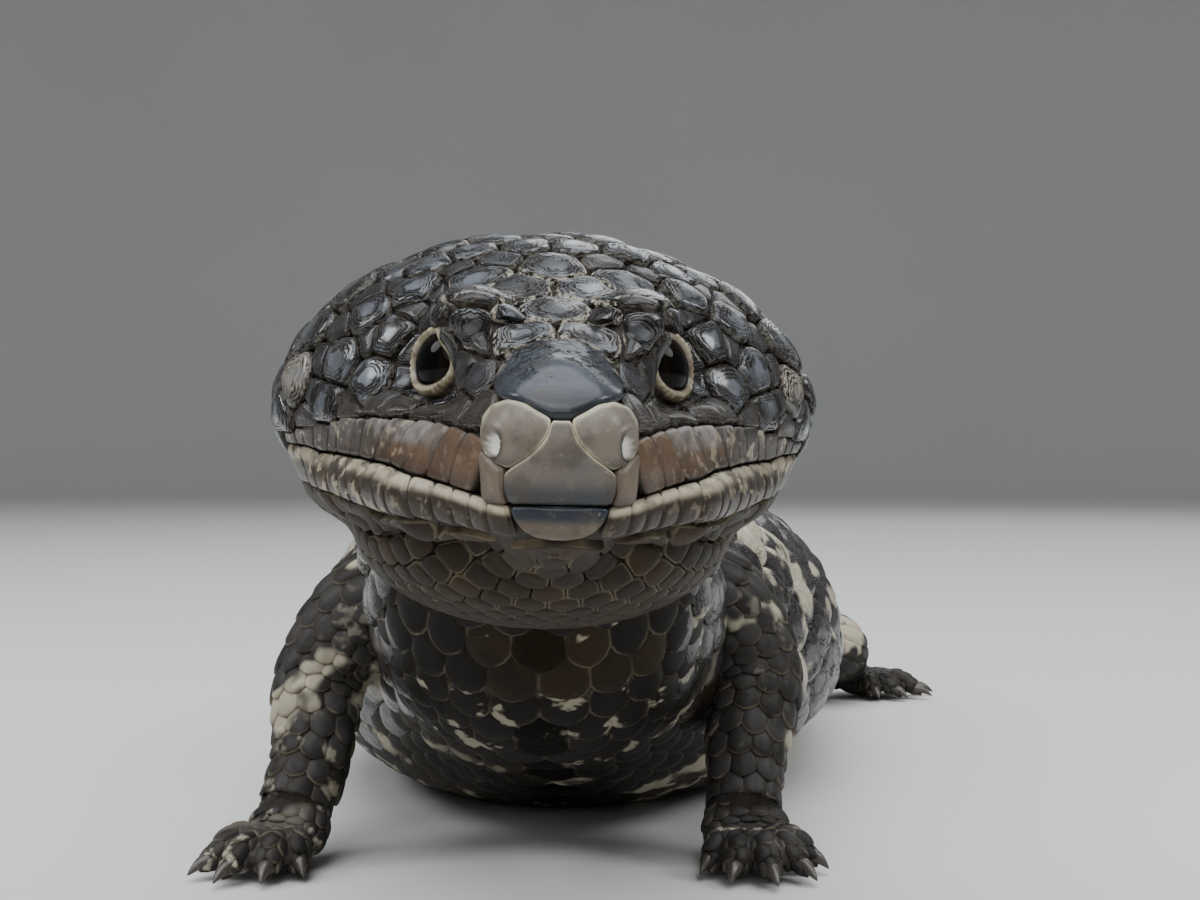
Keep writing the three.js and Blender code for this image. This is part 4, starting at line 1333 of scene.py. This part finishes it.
def plate_ground(kind, place, base):
    """The colours of a plate's corners."""
    x, y, z = np.abs(place[0]), place[1], place[2]
    ground = np.ones(base.shape) * SOOT * SEED.uniform(0.8, 1.7)
    if kind == "throat":
        ground = np.ones(base.shape) * OLIVE * SEED.uniform(0.75, 1.25)
        return toned(ground, (0.050, 0.030, 0.017), np.full(len(base), smoothstep(-y, -12, -5) * 0.8))
    # The row over the lip shields is browner, and the temple has a pale patch
    if kind == "side" and z < 8.2:
        return toned(ground, (0.032, 0.021, 0.013), np.full(len(base), 0.6))
    if kind == "temple" and x > 21.5 and 7 < z < 13 and y < 40:
        height = base[:, 2] + 0.2 * grain(base, 2, 3)
        return toned(ground, (0.33, 0.28, 0.21), smoothstep(height, 8.0, 10.5) * 0.9)
    return ground


HEAD_RINGS = [0.98, 0.95, 0.91, 0.86, 0.79, 0.71, 0.61, 0.5, 0.38, 0.24, 0.11]
FOOT_SHARE = 0.92  # how much narrower a snout or lip shield is at its foot
# By kind: height of the rim, extra height of the middle, width of the rounded edge, and its foot's share
PLATE_SHAPES = {
    "top": (0.44, 0.18, 0.30, 0.25),
    "side": (0.38, 0.14, 0.30, 0.3),
    "ocular": (0.32, 0.12, 0.30, 0.3),
    "temple": (0.44, 0.28, 0.32, 0.2),
    "upper_lip": (0.50, 0.06, 0.22, 0.62),
    "lower_lip": (0.52, 0.26, 0.34, 0.4),
    "throat": (0.28, 0.10, 0.30, 0.55),
}
# Heights from the mouth line at which the lips are mapped
LIP_LEVELS = np.linspace(-4.6, 5.4, 41)


def rounded_rim(shape, edge):
    """A plate's height by the distance from its edge."""
    high, _, width, foot = shape
    return high * (foot + (1 - foot) * smoothstep(edge / width, 0, 1))


def lip_grid():
    """The left half of both lips: rings round the jaw at levels from the mouth line."""
    grid = []
    for offset in LIP_LEVELS:
        fan = np.radians(np.linspace(0, 90, 60, endpoint=False))
        inner = np.stack([0 * fan, 12 + 0 * fan, lip_height(6) + offset + 0 * fan], -1)
        direction = np.stack([np.sin(fan), -np.cos(fan), 0 * fan], -1)
        front = march(inner, direction)
        for _ in range(3):
            inner[:, 2] = lip_height(front[:, 1]) + offset
            front = march(inner, direction)
        y = np.linspace(12, MOUTH_CORNER + 3, 90)
        side = march(np.stack([0 * y, y, lip_height(y) + offset], -1), np.array([1.0, 0, 0]))
        grid.append(np.vstack([front, side]))
    grid = np.array(grid)
    for turn in range(40):
        grid[:, 1:-1] = (grid[:, :-2] + 2 * grid[:, 1:-1] + grid[:, 2:]) / 4
        if turn < 5:
            grid[1:-1] = (grid[:-2] + 2 * grid[1:-1] + grid[2:]) / 4
    return grid


def lip_point(grid, reach, level):
    """A point of the lips: how far along from the middle line, and how far from the mouth line."""
    along = lengths_along(grid[len(grid) // 2])
    column = np.interp(reach, along, np.arange(len(along)))
    row = np.interp(level, LIP_LEVELS, np.arange(len(LIP_LEVELS)))
    i, j = np.minimum(row.astype(int), len(grid) - 2), np.minimum(column.astype(int), len(along) - 2)
    t, u = (row - i)[..., None], (column - j)[..., None]
    near = grid[i, j] * (1 - u) + grid[i, j + 1] * u
    far = grid[i + 1, j] * (1 - u) + grid[i + 1, j + 1] * u
    return near * (1 - t) + far * t


# Each lip: kind, where its row starts and ends along the mouth, first pitch and its growth
LIP_ROWS = [("upper_lip", 6.75, 46, 3.1, 0.05), ("lower_lip", 3.6, 47, 2.0, 0.09)]


def make_lips(material):
    """The rows of shields along both lips, with slanting seams."""
    form = Form(44, HEAD_RINGS)
    grid = lip_grid()
    places, grounds, mottles = [], [], []
    inset = form.inset(FOOT_SHARE)
    outline = (np.abs(np.cos(form.turn)) ** 9 + np.abs(np.sin(form.turn)) ** 9) ** (-1 / 9)
    p, q = (form.rho * outline * part(form.turn) for part in (np.cos, np.sin))
    for kind, start, end, pitch, growth in LIP_ROWS:
        upper = kind == "upper_lip"
        shape = PLATE_SHAPES[kind]
        while start < end:
            rear = float(smoothstep(start, 18, 32))
            long = min(pitch + growth * (start - 4), 4.3)
            long = long * (1 - 0.35 * rear * upper + 0.14 * rear * SEED.normal())
            middle = lip_point(grid, np.array(start + long / 2), np.array(0.0))
            tall = float(lip_band(middle[1])[0 if upper else 1])
            low, high = -tall, -0.14
            if upper:
                low, high = 0.06, tall * (1 + 0.03 * rear * SEED.normal())
            slant = (0.45 if upper else -0.22) + 0.12 * rear * SEED.normal()
            centre, half = (low + high) / 2, (high - low) / 2
            level = centre + half * q * inset
            reach = start + long / 2 + (long / 2 - 0.03) * p * inset - slant * (level - centre)
            base = lip_point(grid, np.abs(reach), level)
            normal = field_normal(head_field, base)
            edge = np.minimum((1 - np.abs(p)) * long / 2, (1 - np.abs(q)) * half)
            height = rounded_rim(shape, edge) + shape[1] * (1 - q * q) * (1 - 0.3 * p * p) - sunk(base)
            height = form.closed(height, -1.0, -1.4)
            for side in (1, -1):
                mirror = (side, 1, 1)
                spot = base + normal * height[:, None] + 0.03 * grain(base * mirror, 1.2, 6)[:, None]
                places.append(to_body(spot * mirror))
                grounds.append(lip_ground(kind, base, tall))
                mottles.append(np.full(len(base), np.clip(base[0, 1] / 24, 0.15, 1)))
            start += long
    piece = joined(
        "lip_shields", form, np.array(places), grid_roots(len(places)),
        rim=form.rho, mottle=np.array(mottles), ground=np.array(grounds), seam=0.75,
    )
    turn_faces(piece, form, np.arange(len(places)) % 2 == 1)
    finish_piece(piece, material, "lip")


def turn_faces(piece, form, flipped):
    """Turns the faces of mirrored copies back to face outwards."""
    loops = np.empty(len(piece.data.loops), np.int32)
    piece.data.loops.foreach_get("vertex_index", loops)
    loops = loops.reshape(len(flipped), -1)
    flat = np.empty(len(piece.data.loops) * 2, np.float32)
    layer = piece.data.uv_layers["OFBake"].data
    layer.foreach_get("uv", flat)
    flat = flat.reshape(len(flipped), -1, 2)
    ends = np.r_[form.starts[1:], len(form.loops)]
    order = np.concatenate([np.arange(start, end)[::-1] for start, end in zip(form.starts, ends)])
    loops[flipped] = loops[flipped][:, order]
    flat[flipped] = flat[flipped][:, order]
    piece.data.loops.foreach_set("vertex_index", loops.ravel())
    layer.foreach_set("uv", flat.ravel())
    piece.data.update()
    piece.data.shade_smooth()


def lip_ground(kind, base, tall):
    """The colours of a lip shield: brown along the mouth, silvery above; pale below it, then dark."""
    share = np.abs(base[:, 2] - lip_height(base[:, 1])) / tall
    y = base[:, 1].mean()
    rear = np.full(len(base), float(smoothstep(y, 14, 26)) * SEED.uniform(0.45, 1.0))
    if kind == "upper_lip":
        mouth, brown, silver = (0.050, 0.029, 0.017), (0.092, 0.056, 0.032), (0.17, 0.150, 0.140)
        ground = toned(np.ones(base.shape) * mouth, brown, smoothstep(share, 0.1, 0.4))
        ground = toned(ground, silver, smoothstep(share, 0.42, 0.68) * float(smoothstep(y, 7, 11)))
        return toned(ground, (0.020, 0.018, 0.017), rear)
    pale, dark = (0.38, 0.33, 0.235), (0.026, 0.018, 0.011)
    ground = toned(np.ones(base.shape) * pale, dark, smoothstep(share, 0.24, 0.42))
    return toned(ground, (0.060, 0.046, 0.032), rear * 0.6)


def plate_seats():
    """Kinds, places and radii of the plates on both sides; those on the middle line come once."""
    half = head_seats()
    seats = [
        (kind, mirrored(place, side), size)
        for side in (1, -1)
        for kind, place, size in half
        if side > 0 or place[0] > 0.9
    ]
    return (np.array([seat[part] for seat in seats]) for part in range(3))


def snout_edge():
    """Points along the outlines of the snout's shields, where the plates stop."""
    shares = np.linspace(0, 1, 5, endpoint=False)[:, None, None]
    edges = [outline + (np.roll(outline, -1, 0) - outline) * shares for _, _, outline in whole_outlines()]
    return from_front(np.vstack([edge.reshape(-1, 2) for edge in edges]))


def plate_heights(form, kinds, places, reach, base, rugose):
    """Heights of the plates' corners over the head's form, lower round the eyes."""
    kind = kinds[:, None]
    shape = np.array([PLATE_SHAPES[member] for member in kinds]).T[..., None]
    height = rounded_rim(shape, (1 - form.rho) * reach) + shape[1] * (1 - form.rho**2)
    height = height + np.where(kind == "throat", 0.09, 0.0) * (base[..., 1] - places[:, None, 1])
    relief = rugose * (0.05 * grain(base, 1.2, 11) + 0.03 * grain(base, 0.6, 12)) * form.rho
    clear = np.min([np.linalg.norm(base - mirrored(EYE_SPOT, side), axis=-1) for side in (1, -1)], 0)
    low = 1 - smoothstep(clear, 3.6, 6.0)
    height = height * (1 - 0.5 * low) - 0.25 * low
    height = height + (kind == "temple") * SEED.uniform(-0.1, 0.35, (len(kinds), 1))
    return form.closed(height + relief - sunk(base), -1.3, -1.7)


def make_head_plates(horn, smooth):
    """Shields over the whole head, each as wide as its neighbours and the openings leave it."""
    kinds, places, sizes = plate_seats()
    normals = field_normal(head_field, places)
    across = unit(np.cross(np.array([0, 1, 0.3]), normals))
    up = np.cross(normals, across)
    snout = snout_edge()
    openings = [(mirrored(EYE_SPOT, side), EYE_CLEAR) for side in (1, -1)]
    openings += [(mirrored(EAR_SPOT, side), EAR_CLEAR) for side in (1, -1)]
    front = places[:, 1] < FRONT_END
    throat = kinds == "throat"
    groups = [
        ("head_shields_front", front & ~throat, Form(48, HEAD_RINGS), horn, "scute"),
        ("head_shields_rear", ~front & ~throat, Form(32, HEAD_RINGS[::2]), horn, "scute"),
        ("throat_scales", throat, Form(16, [0.93, 0.80, 0.5]), smooth, "skin"),
    ]
    for name, members, form, material, slot in groups:
        chosen = np.flatnonzero(members)
        reach = np.zeros((len(chosen), len(form.turn)))
        for row, i in enumerate(chosen):
            offsets, limits = plate_walls(i, kinds, places, sizes, snout, openings)
            bearing = np.arctan2(offsets @ up[i], offsets @ across[i])
            reach[row] = walled(form.turn, bearing, limits, 12, (2.0 * sizes[i]) ** -12)
        x, y = (part[..., None] for part in form.spread(reach, 0.9))
        kind, place = kinds[chosen][:, None], places[chosen]
        base = place[:, None] + x * across[chosen][:, None] + y * up[chosen][:, None]
        base = onto_head(base, 8)
        rugose = np.select([kind == "throat", kind == "side"], [0.0, 0.5], 1.0)
        height = plate_heights(form, kinds[chosen], place, reach, base, rugose)
        normal = field_normal(head_field, base)
        turns = np.arctan2(place[:, 0], place[:, 2] - 6) / (2 * math.pi) + 0.5
        piece = joined(
            name, form, to_body(base + normal * height[..., None]),
            np.stack([turns, place[:, 1] / 66 + 0.04], -1),
            rim=form.rho, tone=SEED.random(len(chosen))[:, None], rugose=rugose,
            # by kind, the share of painted sky reflection on the facets and of their coat
            facet=np.select([kind == "side", kind == "ocular"], [0.2, 0.5], 1.0),
            dust=np.where(kind == "top", 1.0, 0.15),
            ground=np.array([plate_ground(kinds[i], places[i], row) for i, row in zip(chosen, base)]),
        )
        finish_piece(piece, material, slot)


# Eyes and lids


SIDES = {1: "left", -1: "right"}
# The edges of the iris, as shares of the eye's radius along its facing
IRIS_OUTER, IRIS_INNER = (0.80, 0.84), (0.90, 0.93)


def make_eye(side, material):
    facing, across, up = facing_frame(LOOK, side)
    form = bmesh.new()
    bmesh.ops.create_uvsphere(form, u_segments=48, v_segments=32, radius=EYE_RADIUS)
    turn = Matrix((across, up, facing)).transposed()
    bmesh.ops.rotate(form, cent=(0, 0, 0), matrix=turn, verts=form.verts)
    depth = [Vector(facing).dot(vert.co) / EYE_RADIUS for vert in form.verts]
    for vert in form.verts:
        vert.co = to_body(np.array(vert.co) + mirrored(EYE, side))
    name = f"eye_{SIDES[side]}"
    piece = piece_of(form, f"{name}_ball")
    layer = piece.data.attributes.new("iris", "FLOAT", "POINT")
    rings = [smoothstep(d, *IRIS_OUTER) * (1 - smoothstep(d, *IRIS_INNER)) for d in depth]
    layer.data.foreach_set("value", np.array(rings, np.float32))
    finish_piece(piece, material, "eye", name)


def make_lids(side, material):
    """The lids: a bowl over the eyeball, with a raised pale rim of beads round a pointed opening."""
    facing, across, up = facing_frame(LOOK, side)
    form = bmesh.new()
    bmesh.ops.create_grid(form, x_segments=120, y_segments=15, size=0.5)
    places = np.array([vert.co for vert in form.verts])
    turn = (places[:, 0] + 0.5) * 2 * math.pi
    step = (places[:, 1] + 0.5) ** 1.5
    c, d = np.cos(turn), np.sin(turn)
    tall = EYE_OPENING[1] * np.where(d > 0, 1.0 + 0.45 * np.abs(d) ** 7, 0.95)
    opening = 1 / np.hypot(c / EYE_OPENING[0], d / tall)
    inner = np.arcsin(np.minimum(opening / EYE_RADIUS, 0.95))
    bearing = inner + step * (math.radians(86) - inner)
    off_rim = (bearing - inner) * EYE_RADIUS
    width = 0.62 + 0.25 * np.maximum(-d, 0)
    rim = 1 - smoothstep(off_rim, width * 0.85, width * 1.2)
    bead = np.abs(np.sin(turn * 15)) ** 0.6
    rise = smoothstep(off_rim, 0.0, 0.22) * (0.36 + rim * (0.10 + 0.12 * bead))
    radius = EYE_RADIUS - 0.06 + rise + 0.10 * grain(places * (60, 4, 1), 1.0, 4) * (1 - rim)
    place = mirrored(EYE, side) + radius[:, None] * (
        np.cos(bearing)[:, None] * facing
        + (np.sin(bearing) * c)[:, None] * across
        + (np.sin(bearing) * d)[:, None] * up
    )
    values = rim * smoothstep(off_rim, 0.02, 0.12)
    layer = form.verts.layers.float.new("rim")
    for vert, spot, value in zip(form.verts, to_body(place), values):
        vert.co = spot
        vert[layer] = value
    bmesh.ops.remove_doubles(form, verts=form.verts, dist=1e-3)
    bmesh.ops.recalc_face_normals(form, faces=form.faces)
    finish_piece(piece_of(form, f"lids_{SIDES[side]}"), material, "skin")


# Camera, lights and floor


# The floor's radius, and the bend and the height of the wall round it, in metres
FLOOR_RADIUS, WALL_BEND, WALL_HEIGHT = 1.9, 0.8, 2.2
# Lights: place, what they point at, size, energy and colour
LIGHTS = {
    "soft_top": ((0.0, -0.25, 1.05), (0, -0.14, 0.05), 1.3, 14, (0.92, 0.96, 1.0)),
    "soft_front": ((-0.2, -0.95, 0.72), (0, -0.16, 0.05), 1.1, 7.5, (0.97, 0.98, 1.0)),
    "soft_back": ((0.3, 0.95, 0.75), (0, 0, 0.04), 0.8, 3, (0.95, 0.98, 1.0)),
    "soft_left": ((0.85, -0.25, 0.75), (0, -0.10, 0.05), 0.45, 5, (0.93, 0.97, 1.0)),
    "soft_right": ((-0.85, -0.25, 0.75), (0, -0.10, 0.05), 0.45, 5, (0.93, 0.97, 1.0)),
}
CAMERA_PLACE = (3.06, SNOUT_Y - 137, 55.2)


def make_stage():
    """A paper floor that bends up into a wall all round."""
    form = bmesh.new()
    outline = [(0.02, 0), (1.0, 0), (FLOOR_RADIUS, 0)]
    for turn in np.linspace(0.15, math.pi / 2, 10):
        outline.append((FLOOR_RADIUS + WALL_BEND * math.sin(turn), WALL_BEND - WALL_BEND * math.cos(turn)))
    outline.append((FLOOR_RADIUS + WALL_BEND, WALL_HEIGHT))
    verts = [form.verts.new((x, 0, z)) for x, z in outline]
    edges = [form.edges.new(pair) for pair in zip(verts, verts[1:])]
    bmesh.ops.spin(
        form, geom=verts + edges, cent=(0, 0, 0), axis=(0, 0, 1), angle=2 * math.pi, steps=96, use_merge=True
    )
    middle = [edge for edge in form.edges if edge.is_boundary and edge.verts[0].co.z < 0.1]
    bmesh.ops.holes_fill(form, edges=middle, sides=0)
    bmesh.ops.recalc_face_normals(form, faces=form.faces)
    mesh = mesh_of(form, "studio_floor")
    mesh.shade_smooth()
    finish = Finish("studio_paper")
    finish.show(finish.mix((0.58, 0.57, 0.55), (0.62, 0.61, 0.59), finish.noise(300)), 0.85)
    mesh.materials.append(finish.material)
    floor = added("studio_floor", mesh)


def make_lights():
    for name, (place, target, size, energy, colour) in LIGHTS.items():
        data = bpy.data.lights.new(name, "AREA")
        data.shape = "DISK"
        data.size = size
        data.energy = energy
        data.color = colour
        light = added(name, data)
        light.location = place
        light.visible_camera = False
        light.rotation_euler = (Vector(target) - Vector(place)).to_track_quat("-Z", "Y").to_euler()
    world = bpy.data.worlds.new("studio_air")
    world.use_nodes = True
    sky = world.node_tree.nodes["Background"]
    sky.inputs["Color"].default_value = (0.84, 0.90, 1.0, 1)
    sky.inputs["Strength"].default_value = 0.22
    bpy.context.scene.world = world


def make_camera():
    data = bpy.data.cameras.new("camera")
    data.lens = 54.12
    data.sensor_width = 36
    data.clip_start = 0.01
    camera = added("camera", data)
    camera.location = [part * MM for part in CAMERA_PLACE]
    camera.rotation_euler = Euler((math.pi / 2, 0, 0))
    bpy.context.scene.camera = camera


make_camera()
make_lights()
make_stage()

horn, lip, smooth = scute_finish(), lip_finish(), throat_finish()
hide, lid, gloss, claw, drum = skin_finish(), lid_finish(), eye_finish(), claw_finish(), drum_finish()

legs = {name: limb_tubes(*sizes) for name, sizes in LEGS.items()}
flesh = ["head", "lower_jaw", "neck", "torso_front", "torso_rear", "tail", *LEGS]
flesh += [name.replace("leg", "foot") for name in LEGS]
finish_piece(make_skin(legs), hide, "skin", *flesh)
make_scutes(horn)
make_belly(smooth)
make_limb_scales(legs, smooth)
make_claws(legs, claw)
make_snout(lip, horn)
make_lips(lip)
make_head_plates(horn, smooth)
for side in SIDES:
    make_eye(side, gloss)
    make_lids(side, lid)
for name in ("ear_left", "ear_right"):
    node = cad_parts[name]
    node.data.materials.clear()
    node.data.materials.append(drum)
